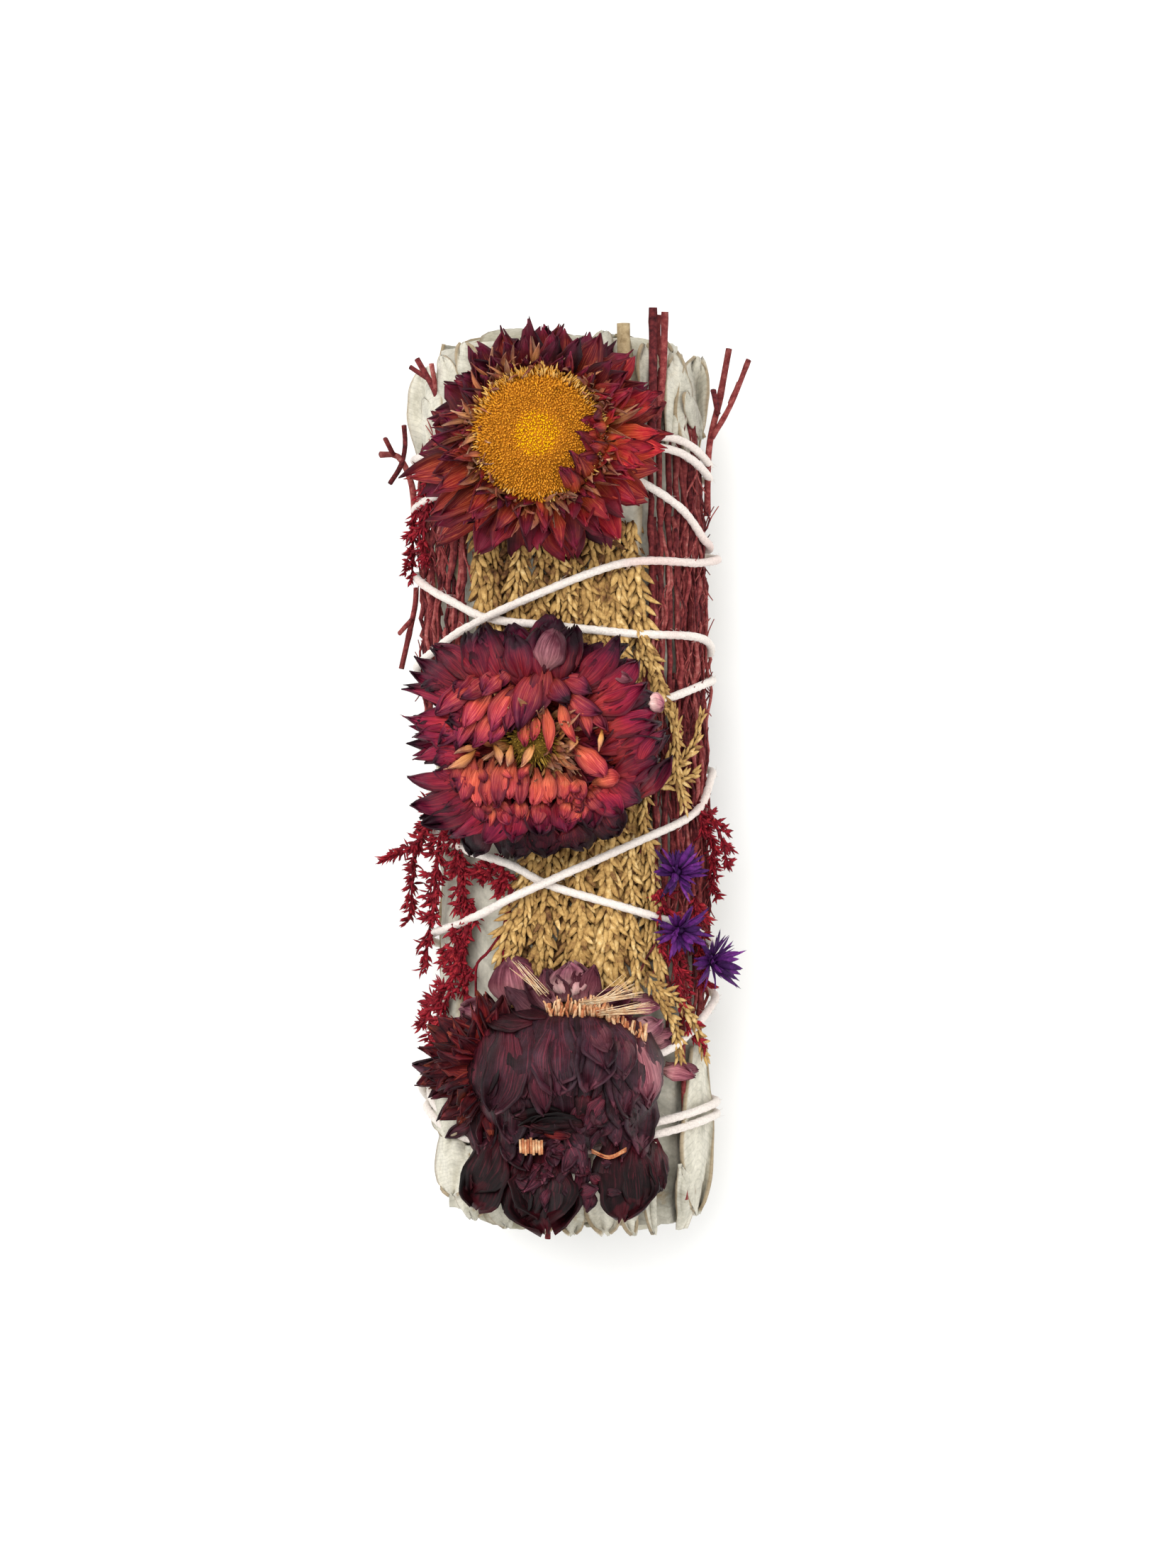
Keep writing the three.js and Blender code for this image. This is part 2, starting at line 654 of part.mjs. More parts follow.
// Purple blossoms: a star of pointed petals round a short throat.
const blossoms = {
  purple_blossom_upper: { place: [13.1, -11.6, 4.9], lean: [-25, 30, 0], radius: 3.4, petals: 6, seed: 41 },
  purple_blossom_middle: { place: [13.4, -18.2, 5.4], lean: [20, 25, 0], radius: 3.5, petals: 6, seed: 42 },
  purple_blossom_lower: { place: [17.1, -22, 5.4], lean: [15, 55, 0], radius: 4.3, petals: 7, seed: 43 },
};

function blossom({ place, lean, radius, petals, seed }, grow) {
  const petal = { start: 0.3, height: 0.4, pitch: 28, curl: -12, length: radius, width: 1.7 };
  const rings = [{ count: petals, ...petal }];
  const settings = { thickness: 0.6, cup: 0.3, outline: lance, seed, stretch: () => 1, sector: [0, 360] };
  const throat = turned(grownProfile([[0, -1.1], [0.7, -0.5], [0.85, 0.7], [0, 1.2]], grow), 7);
  return seated(joined([throat, ...bracts(rings, settings, grow)]), { place, lean });
}

// The cord: one length, given by [degrees turned round the bundle, place along it].
// It starts under the top flower, winds down to the base, turns there twice and winds back up.
const cordRoute = [
  [-12, 38.6], [20, 39], [50, 39.1], [85, 36.6], [180, 36.7], [291, 37.2], [323, 37.9], [360, 38.4],
  [410, 37.6], [445, 35], [540, 35.2], [651, 35.7], [683, 36.5], [720, 36.9], [747, 34.5], [773, 31],
  [796, 27.3], [900, 25.2], [995, 23.2], [1029, 20.4], [1049, 18.1], [1074, 17.2], [1105, 16.3], [1157, 15.5],
  [1220, 9.8], [1260, 8], [1300, 4.6], [1355, -5.5], [1417, -10.5], [1432, -12.8], [1451, -14.6],
  [1476, -16.7], [1515, -19.7],
  [1620, -28.5], [1715, -38], [1756, -41.4], [1800, -42.6], [1841, -40.4], [1878, -39], [1980, -38.2],
  [2075, -39.4], [2116, -42.8], [2160, -44], [2201, -41.8], [2238, -40.4], [2340, -40.1], [2400, -39.7],
  [2440, -36], [2520, -35], [2559, -32.6], [2599, -27.1], [2700, -22.8], [2795, -19.3], [2840, -16.9],
  [2869, -13.2], [2885, -10.9], [2911, -7.7], [2945, -4], [2963, -0.3], [3060, 2.4], [3155, 3.2],
  [3180, 4.2], [3240, 5.6], [3279, 8.4], [3317, 10.7], [3420, 11.8], [3515, 12.6], [3551, 15.5],
  [3575, 18.6], [3606, 22.7], [3628, 24.6], [3671, 24.8], [3780, 28.4], [3880, 31.4], [3925, 34],
  [3944, 35.4],
];
const cordSpacing = 5.9;
const cordSample = 2;
const crossingReach = 1.16;
const bumpFlat = 2.9;
const bumpSlope = 5.4;

// The place along the bundle at an angle, on a smooth line through the route's points.
function cordPlace(angle) {
  const after = Math.max(1, cordRoute.findIndex(([at]) => at >= angle));
  const slopeAt = (i) => {
    const low = cordRoute[Math.max(0, i - 1)];
    const high = cordRoute[Math.min(cordRoute.length - 1, i + 1)];
    return (high[1] - low[1]) / (high[0] - low[0]);
  };
  const [from, to] = [cordRoute[after - 1], cordRoute[after]];
  const span = to[0] - from[0];
  const t = (angle - from[0]) / span;
  const leaving = slopeAt(after - 1) * span * (t ** 3 - 2 * t ** 2 + t);
  const arriving = slopeAt(after) * span * (t ** 3 - t ** 2);
  return lerp(from[1], to[1], t * t * (3 - 2 * t)) + leaving + arriving;
}

// Samples of the cord, lifted over the earlier turns that it crosses.
function cordLine() {
  const samples = [];
  const last = cordRoute.at(-1)[0];
  for (let angle = cordRoute[0][0]; angle <= last; angle += cordSample) {
    samples.push({ angle, y: cordPlace(angle), lift: 0 });
  }
  const perDegree = radians(1) * cordHalfWidth;
  const quarter = 90 / cordSample;
  for (let pass = 0; pass < 3; pass += 1) {
    const needs = samples.map((here, i) => {
      let need = 0;
      for (let j = 0; j < i - quarter; j += 1) {
        const apart = THREE.MathUtils.euclideanModulo(here.angle - samples[j].angle + 180, 360) - 180;
        const distance = Math.hypot(apart * perDegree, here.y - samples[j].y);
        if (distance < crossingReach) {
          need = Math.max(need, samples[j].lift + Math.sqrt(crossingReach ** 2 - distance ** 2));
        }
      }
      return need;
    });
    const window = Math.ceil((bumpFlat + bumpSlope) / perDegree / cordSample);
    samples.forEach((here, i) => {
      for (let k = Math.max(0, i - window); k <= Math.min(samples.length - 1, i + window); k += 1) {
        if (needs[k] === 0) continue;
        const away = Math.abs(k - i) * cordSample * perDegree;
        const fade = THREE.MathUtils.clamp((away - bumpFlat) / bumpSlope, 0, 1);
        here.lift = Math.max(here.lift, needs[k] * 0.5 * (1 + Math.cos(Math.PI * fade)));
      }
    });
  }
  return samples.map(({ angle, y, lift }) => bundlePoint(angle, y, riseOn(angle, y, "cord") + lift));
}

const cordPoints = cordLine();

function cord(grow) {
  const whole = stem(cordPoints, cordRadius + grow, 6, cordSpacing);
  return grow > 0 ? whole : whole.trimByPlane([0, 0, 1], 0);
}

// The flower at the tips: an open everlasting flower with a broad golden disc.
const tipFlower = { place: [-2.6, 38.9, 3.5], lean: [0, -3, 0] };
const tipBracts = {
  rings: [
    { count: 9, start: 4, height: 0.9, pitch: -1, curl: -3, length: 11.6, width: 4.4 },
    { count: 9, start: 4, height: 1.9, pitch: 5, curl: -4, length: 11.2, width: 4.3 },
    { count: 9, start: 4, height: 2.9, pitch: 12, curl: -5, length: 10.2, width: 4.2 },
    { count: 9, start: 4, height: 3.8, pitch: 19, curl: -4, length: 9.2, width: 4 },
    { count: 9, start: 4.2, height: 4.6, pitch: 27, curl: -3, length: 8, width: 3.6 },
  ],
  settings: {
    thickness: 0.7, cup: 0.16, outline: lance, seed: 51, sector: [0, 360],
    stretch: (azimuth) => 1 + 0.09 * Math.cos(azimuth) - 0.04 * Math.sin(azimuth),
  },
};
const tipFolds = {
  rings: [{ count: 17, start: 8, height: 6, pitch: 74, curl: 74, length: 6, width: 2.4 }],
  settings: { thickness: 0.6, cup: 0.1, outline: lance, seed: 52, sector: [290, 360], stretch: () => 1 },
};
const tipReceptacle = [[0, 0], [4.6, 0.2], [6, 1.8], [6.2, 3.8], [5.2, 5.1], [0, 5.2]];
const tipDiscProfile = [
  [0, 5.6], [4.6, 5.6], [7.1, 7.1], [7.5, 7.9], [6.8, 9], [5.2, 9.8], [3.2, 10.2], [1.6, 10.1], [0, 9.8],
];

function grownProfile(profile, grow) {
  return profile.map(([radius, height], i) => {
    const end = i === 0 ? -grow : i === profile.length - 1 ? grow : 0;
    return [radius > 0 ? radius + grow : 0, height + end];
  });
}

function tipFlowerBracts(grow) {
  const core = turned(grownProfile(tipReceptacle, grow), 14);
  const rings = bracts(tipBracts.rings, tipBracts.settings, grow);
  const folds = bracts(tipFolds.rings, tipFolds.settings, grow);
  return seated(joined([core, ...rings, ...folds]), tipFlower);
}

const tipFlowerDisc = (grow) => seated(disc(tipDiscProfile, { segments: 22, relief: 0.25 }, grow), tipFlower);

// The flower in the middle: half open, with coral inner bracts that fold over its small centre.
const middleFlower = { place: [-3.2, 4.4, 3.5], lean: [5, -4, 0] };
const middleOuter = {
  rings: [
    { count: 9, start: 4, height: 0.9, pitch: 0, curl: 6, length: 11.4, width: 4.6 },
    { count: 9, start: 4, height: 1.9, pitch: 7, curl: 4, length: 11, width: 4.4 },
    { count: 9, start: 4, height: 2.9, pitch: 14, curl: 4, length: 10, width: 4.2 },
    { count: 9, start: 4, height: 3.8, pitch: 22, curl: 4, length: 8.6, width: 4 },
  ],
  settings: {
    thickness: 0.7, cup: 0.2, outline: lance, seed: 61, sector: [0, 360],
    stretch: (azimuth) => 1 - 0.06 * Math.cos(azimuth) - 0.06 * Math.abs(Math.sin(azimuth)),
  },
};
const middleInner = {
  rings: [
    { count: 9, start: 3, height: 5.4, pitch: 28, curl: 24, length: 6, width: 3.6 },
    { count: 8, start: 2.9, height: 6, pitch: 58, curl: 46, length: 5, width: 3 },
  ],
  settings: { thickness: 0.7, cup: 0.22, outline: lance, seed: 64, sector: [0, 360], stretch: () => 1 },
};
const middleReceptacle = [[0, 0], [4.4, 0.3], [5.6, 1.8], [5.4, 3.4], [4, 4.4], [0, 4.5]];
const middleCup = [[0, 4.9], [3.2, 4.9], [3.9, 5.5], [3.4, 6.5], [0, 6.6]];
const middleDiscProfile = [[0, 6.95], [1.9, 6.95], [2.5, 7.5], [2.3, 8.3], [1.4, 8.9], [0, 9]];

function middleFlowerOuter(grow) {
  const core = turned(grownProfile(middleReceptacle, grow), 14);
  return seated(joined([core, ...bracts(middleOuter.rings, middleOuter.settings, grow)]), middleFlower);
}

function middleFlowerInner(grow) {
  const cup = turned(grownProfile(middleCup, grow), 12);
  return seated(joined([cup, ...bracts(middleInner.rings, middleInner.settings, grow)]), middleFlower);
}

const middleFlowerDisc = (grow) =>
  seated(disc(middleDiscProfile, { segments: 12, relief: 0.15 }, grow), middleFlower);

// The flower at the base: a dark closed head lying on its side, its broad bracts arched to the base.
// Each broad bract follows points of [out from the head's axis, along the bundle].
const baseFlower = { x: 0.2, axisZ: 28.9, squash: 0.86 };
const domeLine = [
  [3.4, -27.4], [8.2, -28.6], [10.9, -32.6], [10.9, -37], [8.2, -41], [7.2, -43.6], [9.2, -47.8], [10.2, -52],
];
const domeLineInner = [
  [3, -28], [7.2, -29.4], [9.8, -33], [9.7, -37], [7, -41], [5.6, -44.5], [6.2, -49], [6.8, -52.6],
];

function broadBract({ line, angle, halfAngle, from, to, lift, seed }, grow) {
  const next = seeded(seed);
  const curve = new THREE.SplineCurve(line.map((point) => new THREE.Vector2(...point)));
  const tip = next(-0.05, 0.05);
  return solidOf(
    bent(slab(2, 5), (corner) => {
      const v = 0.5 - corner.y;
      const along = lerp(from, to, v);
      const at = curve.getPoint(along);
      const ahead = curve.getTangent(along);
      const share = 1 - 0.34 * Math.exp(-(((along - 0.7) / 0.12) ** 2));
      const round = Math.sqrt(Math.max(0, 1 - Math.max(0, (v - 0.72 - tip) / 0.3) ** 2));
      const turn = angle + 2 * corner.x * halfAngle * share * round;
      const offset = corner.z * (0.5 * leafThickness + grow);
      const out = at.x + lift - ahead.y * offset;
      const margin = 2 * corner.x * grow;
      const wide = out * Math.sin(radians(turn)) + margin * Math.cos(radians(turn));
      const high = (out * Math.cos(radians(turn)) - margin * Math.sin(radians(turn))) * baseFlower.squash;
      const end = v === 0 ? -grow : v === 1 ? grow : 0;
      const reach = at.y + ahead.x * offset + ahead.y * end;
      return new THREE.Vector3(baseFlower.x + wide, reach, baseFlower.axisZ + high);
    }),
  );
}

const darkBracts = [
  { angle: -60, halfAngle: 27, from: 0.04, to: 0.93, lift: 0.6, seed: 71, line: domeLine },
  { angle: -18, halfAngle: 24, from: 0.02, to: 0.62, lift: 1.1, seed: 72, line: domeLine },
  { angle: 26, halfAngle: 25, from: 0.03, to: 0.64, lift: 0.5, seed: 73, line: domeLine },
  { angle: 56, halfAngle: 30, from: 0.05, to: 0.92, lift: 1, seed: 74, line: domeLine },
  { angle: -36, halfAngle: 22, from: 0.06, to: 0.7, lift: -0.2, seed: 75, line: domeLine },
  { angle: 4, halfAngle: 22, from: 0.06, to: 0.7, lift: -0.5, seed: 76, line: domeLine },
  { angle: 45, halfAngle: 22, from: 0.06, to: 0.72, lift: -0.3, seed: 77, line: domeLine },
  { angle: -15, halfAngle: 40, from: 0.1, to: 1, lift: 0.2, seed: 78, line: domeLineInner },
];

function baseFlowerDark(grow) {
  const heart = bent(new THREE.SphereGeometry(1, 10, 6), (corner) =>
    new THREE.Vector3(
      baseFlower.x + corner.x * (8.6 + grow),
      -35.6 + corner.y * (8.4 + grow),
      baseFlower.axisZ + 1.5 + corner.z * (6.6 + grow),
    ),
  );
  return joined([solidOf(heart), ...darkBracts.map((bract) => broadBract(bract, grow))]);
}

// Small red bracts at the head's left, and mauve ones that stand up round its stem end.
const redSide = {
  place: [-8.6, -34.2, 4.6],
  lean: [0, -32, 0],
  hub: [[0, -0.6], [2, -0.4], [2.2, 0.9], [0, 1.5]],
  hubSpread: [1, 1],
  rings: [
    { count: 11, start: 1, height: 0.1, pitch: 2, curl: -6, length: 8.4, width: 3.8 },
    { count: 10, start: 1, height: 1, pitch: 17, curl: -4, length: 6.8, width: 3.4 },
  ],
  settings: { thickness: 0.7, cup: 0.18, outline: lance, seed: 81, sector: [92, 268], stretch: () => 1 },
};
const mauveSide = {
  place: [0.8, -30.4, 3.6],
  lean: [0, 0, 0],
  hub: [[0, -0.4], [4.6, -0.2], [5, 0.9], [0, 1.4]],
  hubSpread: [2.1, 1.08],
  rings: [
    { count: 13, start: 4, height: 0.9, pitch: 12, curl: 22, length: 6.4, width: 5 },
  ],
  settings: {
    thickness: 0.8, cup: 0.12, outline: spoon, seed: 85, sector: [12, 168],
    stretch: (azimuth) => 1.1 + 0.45 * Math.abs(Math.cos(azimuth)),
  },
};

function bractTuft({ place, lean, hub, hubSpread, rings, settings }, grow) {
  const core = turned(grownProfile(hub, grow), 10).scale([...hubSpread, 1]);
  return seated(joined([core, ...bracts(rings, settings, grow)]), { place, lean });
}

// The torn tan stem end of that head, with its stiff cream bristles.
const tanEnd = { place: [2.6, -27.6, 33.9], bristles: 9 };

function receptacle(grow) {
  const next = seeded(91);
  const pad = bent(new THREE.SphereGeometry(1, 9, 5), (corner) =>
    new THREE.Vector3(
      tanEnd.place[0] + corner.x * (5.4 + grow),
      tanEnd.place[1] + corner.y * (1.5 + grow),
      tanEnd.place[2] + corner.z * (1.1 + grow),
    ),
  );
  const made = [solidOf(pad)];
  for (let i = 0; i < tanEnd.bristles; i += 1) {
    const turn = radians(lerp(8, 168, (i + 0.5) / tanEnd.bristles) + next(-5, 5));
    const length = next(3.4, 5.4);
    const [x, y, z] = tanEnd.place;
    const root = new THREE.Vector3(x + 4.4 * Math.cos(turn), y + 0.3, z);
    const reach = new THREE.Vector3(length * Math.cos(turn), length * Math.sin(turn) * 0.7, 0.9);
    const end = root.clone().add(reach);
    made.push(stem([root, end], 0.3 + grow, 3, length));
  }
  return joined(made);
}

const colours = {
  sage: "#b9b6a6",
  innerSage: "#a19d8b",
  stalk: "#7d6a4c",
  cedar: "#b28f57",
  red: "#7a3b3a",
  floret: "#8e1b2a",
  purple: "#4a1a7a",
  cord: "#ede3dc",
  maroon: "#5a1626",
  coral: "#b5543f",
  gold: "#b98a1c",
  olive: "#9a7a2c",
  dark: "#3a1a28",
  mauve: "#8a4a62",
  orangeRed: "#a2352a",
  tan: "#c49a62",
};

// Every piece: its maker, its colour, how rough it is, the makers it keeps clear of and how fine it is.
const pieces = {
  cotton_cord: { make: cord, colour: "cord", roughness: 0.95 },
  sage_inner_leaves: {
    make: innerLeaves, colour: "innerSage", roughness: 0.9, fineness: smallLeafFineness,
    clear: stalkPlaces.map((place) => (grow) => stalk(place, grow)),
  },
  sage_stalk_front: { make: cutStalk, colour: "stalk", roughness: 0.85, clear: [cord] },
};
stalkPlaces.forEach((place, i) => {
  pieces[`sage_stalk_${i + 1}`] = { make: (grow) => stalk(place, grow), colour: "stalk", roughness: 0.85 };
});
for (const row of Object.keys(leafRows)) {
  for (let i = 0; i < leavesRound; i += 1) {
    pieces[`sage_leaf_${row}_${i + 1}`] = {
      make: (grow) => outerLeaf(row, i, grow), colour: "sage", roughness: 0.9,
    };
  }
}

// Adds a piece for each entry of a table, made by maker(entry, grow).
function addAll(table, maker, look) {
  for (const [name, entry] of Object.entries(table)) {
    const beside = (entry.beside ?? []).map((other) => pieces[other].make);
    pieces[name] = { make: (grow) => maker(entry, grow), clear: [cord, ...beside], ...look };
  }
}

addAll(cedarSprays, cedarSpray, { colour: "cedar", roughness: 0.85 });
addAll(redStemBunches, redStems, { colour: "red", roughness: 0.8 });
addAll(looseTwigs, looseTwig, { colour: "red", roughness: 0.8 });
addAll(sprigs, cedarSprig, { colour: "cedar", roughness: 0.85 });
addAll(floretSprays, floretSpray, { colour: "floret", roughness: 0.75, fineness: smallLeafFineness });
addAll(blossoms, blossom, { colour: "purple", roughness: 0.6, fineness: smallLeafFineness });

// The flowers: each part of a head keeps clear of the ones named after it.
function addFlowerPart(name, make, colour, roughness, clear) {
  pieces[name] = { make, colour, roughness, clear, fineness: smallLeafFineness };
}

const redBracts = (grow) => bractTuft(redSide, grow);
const mauveBracts = (grow) => bractTuft(mauveSide, grow);
addFlowerPart("flower_tip_disc", tipFlowerDisc, "gold", 0.95, []);
addFlowerPart("flower_tip_bracts", tipFlowerBracts, "maroon", 0.45, [cord, tipFlowerDisc, underFlowers]);
addFlowerPart("flower_middle_disc", middleFlowerDisc, "olive", 0.95, []);
addFlowerPart("flower_middle_inner_bracts", middleFlowerInner, "coral", 0.45, [middleFlowerDisc]);
addFlowerPart("flower_middle_outer_bracts", middleFlowerOuter, "maroon", 0.45, [
  cord, middleFlowerInner, underFlowers,
]);
addFlowerPart("flower_base_dark_bracts", baseFlowerDark, "dark", 0.4, [cord, underFlowers]);
addFlowerPart("flower_base_red_bracts", redBracts, "orangeRed", 0.45, [cord, baseFlowerDark, underFlowers]);
addFlowerPart("flower_base_receptacle", receptacle, "tan", 0.8, [baseFlowerDark]);
addFlowerPart("flower_base_mauve_bracts", mauveBracts, "mauve", 0.45, [
  cord, baseFlowerDark, redBracts, receptacle, underFlowers,
]);

function meshOf(name, { make, colour, roughness, clear = [], fineness = cleanDistance }) {
  const cutters = clear.map((maker) => maker(clearance));
  const whole = make(0);
  const cut = cutters.length ? whole.subtract(joined(cutters)) : whole;
  const { vertProperties, triVerts } = largestBody(cut, fineness).getMesh();
  const geometry = new THREE.BufferGeometry();
  geometry.setAttribute("position", new THREE.BufferAttribute(vertProperties, 3));
  geometry.setIndex(new THREE.BufferAttribute(triVerts, 1));
  geometry.computeVertexNormals();
  const material = new THREE.MeshStandardMaterial({ color: colours[colour], roughness, metalness: 0 });
  const mesh = new THREE.Mesh(geometry, material);
  mesh.name = name;
  return mesh;
}

const group = new THREE.Group();
group.name = "sage_bundle";
for (const [name, piece] of Object.entries(pieces)) group.add(meshOf(name, piece));

export default group;
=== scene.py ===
# A small tied bundle of dried white sage with cedar, red dyed stems, purple blossoms and
# three everlasting flowers. Lengths below are in millimetres until a mesh is finished.
import random
from math import asin, ceil, cos, degrees, exp, hypot, pi, radians, sin, sqrt

import bmesh
import bpy
from mathutils import Matrix, Vector, noise


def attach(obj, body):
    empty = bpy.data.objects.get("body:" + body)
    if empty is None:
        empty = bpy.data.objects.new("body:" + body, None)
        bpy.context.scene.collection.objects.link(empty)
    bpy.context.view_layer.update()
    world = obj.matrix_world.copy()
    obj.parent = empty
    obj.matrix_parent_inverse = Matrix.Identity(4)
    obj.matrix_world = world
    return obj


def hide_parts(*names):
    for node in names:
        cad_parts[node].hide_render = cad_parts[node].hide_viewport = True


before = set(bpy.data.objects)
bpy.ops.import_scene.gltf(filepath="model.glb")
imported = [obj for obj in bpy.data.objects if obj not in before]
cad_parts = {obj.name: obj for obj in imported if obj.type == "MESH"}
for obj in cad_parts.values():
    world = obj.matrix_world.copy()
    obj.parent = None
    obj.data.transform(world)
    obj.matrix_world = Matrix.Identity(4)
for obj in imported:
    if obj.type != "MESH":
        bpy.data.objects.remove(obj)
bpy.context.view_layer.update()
print("frame loaded")

mm = 0.001

# Camera straight above, as in the photograph: 12 of its pixels are 1 mm at the bundle's middle height
camera = {"centre": (2.79, -1.25), "height": 720, "middle": 20, "pixelsPerMm": 12, "imageHeight": 2212,
          "sensor": 36, "clipStart": 0.01}
cameraData = bpy.data.cameras.new("camera")
cameraData.sensor_width = camera["sensor"]
frameHeight = camera["imageHeight"] / camera["pixelsPerMm"]
cameraData.lens = camera["sensor"] * (camera["height"] - camera["middle"]) / frameHeight
cameraData.clip_start = camera["clipStart"]
cameraObject = bpy.data.objects.new("camera", cameraData)
cameraObject.location = (camera["centre"][0] * mm, camera["centre"][1] * mm, camera["height"] * mm)
bpy.context.scene.collection.objects.link(cameraObject)
bpy.context.scene.camera = cameraObject


def clamp(value, low=0.0, high=1.0):
    return max(low, min(high, value))


def lerp(a, b, t):
    return a + (b - a) * t


def smoothstep(value, low, high):
    t = clamp((value - low) / (high - low))
    return t * t * (3 - 2 * t)


# the bundle's form, with the same numbers as its solids
bundle = {
    "rollHalfWidth": 13.5, "heightShare": 0.86, "flatness": 2.35, "cordRadius": 0.48, "pressDepth": 0.3,
    "leafRise": 0.35, "stemRise": 2.75, "bareCord": 2.93, "coveredCord": 3.95,
}
cordHalfWidth = bundle["rollHalfWidth"] + bundle["coveredCord"]
cordHalfHeight = bundle["heightShare"] * cordHalfWidth
onGround = bundle["bareCord"] + bundle["cordRadius"] - bundle["pressDepth"]
middleZ = cordHalfHeight - bundle["coveredCord"] + onGround


def middleX(y):
    return 0.1 - 0.012 * y


def bundlePoint(angle, y, rise):
    across = sin(radians(angle))
    facing = cos(radians(angle))
    drop = rise - bundle["coveredCord"]
    flat = bundle["flatness"]
    depth = facing if facing >= 0 else -max(0.0, 1 - abs(across) ** flat) ** (1 / flat)
    return Vector((middleX(y) + (cordHalfWidth + drop) * across, y,
                   middleZ + (cordHalfHeight + drop) * depth))


def overFront(x, y, rise):
    reach = bundle["rollHalfWidth"] + rise
    return bundlePoint(degrees(asin(clamp((x - middleX(y)) / reach, -1, 1))), y, rise)


def outward(point):
    share = bundle["heightShare"]
    return Vector(((point.x - middleX(point.y)) * share, 0, (point.z - middleZ) / share)).normalized()


# How far cedar and stems cover the leaves, from 0 to 1: the cord lies closer in where they don't
def cover(angle, y):
    turn = (angle + 180) % 360 - 180
    front = smoothstep(turn, -102, -90) * (1 - smoothstep(turn, 92, 106))
    bareLeft = (1 - smoothstep(turn, -48, -38)) * (1 - smoothstep(y, 0, 6))
    bareBase = (1 - smoothstep(turn, 26, 38)) * (1 - smoothstep(y, -34, -28))
    return front * (1 - bareLeft) * (1 - bareBase)


def drawnIn(y):
    return 0.9 * exp(-(((y + 4) / 9) ** 2)) + 1.3 * smoothstep(abs(y + 0.75), 43, 53.5)


# A piece is a dictionary that gathers sheets of points by their size, and becomes one mesh with a long
# grid for each size. A sheet has columns by rows: place(across -1..1, along 0..1) gives each corner its point
def addSheet(piece, columns, rows, place, tone, hue=0.0):
    corners = piece.setdefault((columns, rows), [])
    for j in range(rows + 1):
        t = j / rows
        for u in (2 * i / columns - 1 for i in range(columns + 1)):
            corners.append((place(u, t), u, t, tone, hue))


def meshOf(piece):
    bm = bmesh.new()
    layers = [bm.verts.layers.float.new(name) for name in ("across", "along", "tone", "hue")]
    rowOf = bm.verts.layers.int.new("row")
    for (columns, rows), corners in piece.items():
        total = len(corners) // (columns + 1) - 1
        made = bmesh.ops.create_grid(bm, x_segments=columns, y_segments=total, size=1)["verts"]
        for vert in made:
            row = round((vert.co.y + 1) / 2 * total)
            point, *values = corners[row * (columns + 1) + round((vert.co.x + 1) / 2 * columns)]
            vert[rowOf] = row
            for layer, value in zip(layers, values):
                vert[layer] = value
            vert.co = point
        faces = {face for vert in made for face in vert.link_faces}
        bridges = [face for face in faces if min(vert[rowOf] for vert in face.verts) % (rows + 1) == rows]
        bmesh.ops.delete(bm, geom=bridges, context="FACES")
    bm.verts.layers.int.remove(rowOf)
    return bm


weldDistance = 0.0005


# Makes the piece one object that takes the place of its nodes; open sheets get a thickness
def finishPiece(piece, name, material, nodes, thickness=0):
    bm = meshOf(piece)
    bmesh.ops.remove_doubles(bm, verts=bm.verts, dist=weldDistance)
    if not thickness:
        bmesh.ops.recalc_face_normals(bm, faces=bm.faces)
    bmesh.ops.scale(bm, vec=(mm, mm, mm), verts=bm.verts)
    for face in bm.faces:
        face.smooth = True
    mesh = bpy.data.meshes.new(name)
    bm.to_mesh(mesh)
    bm.free()
    mesh.materials.append(material)
    made = bpy.data.objects.new(name, mesh)
    bpy.context.scene.collection.objects.link(made)
    if thickness:
        solid = made.modifiers.new("thickness", "SOLIDIFY")
        solid.thickness = thickness * mm
        solid.offset = 0
    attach(made, "root")
    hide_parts(*nodes)
    print(name, len(mesh.polygons), "faces")


def smoothLine(points, count):
    spans = len(points) - 1
    line = []
    for i in range(count + 1):
        at = clamp(i / count * spans, 0, spans - 1e-9)
        k = int(at)
        t = at - k
        p1, p2 = points[k], points[k + 1]
        p0 = points[k - 1] if k > 0 else 2 * p1 - p2
        p3 = points[k + 2] if k + 2 <= spans else 2 * p2 - p1
        line.append(0.5 * (2 * p1 + (p2 - p0) * t + (2 * p0 - 5 * p1 + 4 * p2 - p3) * t * t
                           + (3 * p1 - p0 - 3 * p2 + p3) * t * t * t))
    return line


def evenLine(line, step):
    lengths = [0.0]
    for a, b in zip(line, line[1:]):
        lengths.append(lengths[-1] + (b - a).length)
    count = max(2, round(lengths[-1] / step))
    even, k = [], 0
    for i in range(count + 1):
        goal = lengths[-1] * i / count
        while k < len(line) - 2 and lengths[k + 1] < goal:
            k += 1
        span = lengths[k + 1] - lengths[k]
        even.append(line[k].lerp(line[k + 1], (goal - lengths[k]) / span if span else 0))
    return even


def framesAlong(line):
    frames = []
    side = None
    for i, point in enumerate(line):
        tangent = (line[min(i + 1, len(line) - 1)] - line[max(i - 1, 0)]).normalized()
        if side is None:
            side = tangent.orthogonal().normalized()
        side = (side - tangent * side.dot(tangent)).normalized()
        frames.append((point, tangent, side, tangent.cross(side)))
    return frames


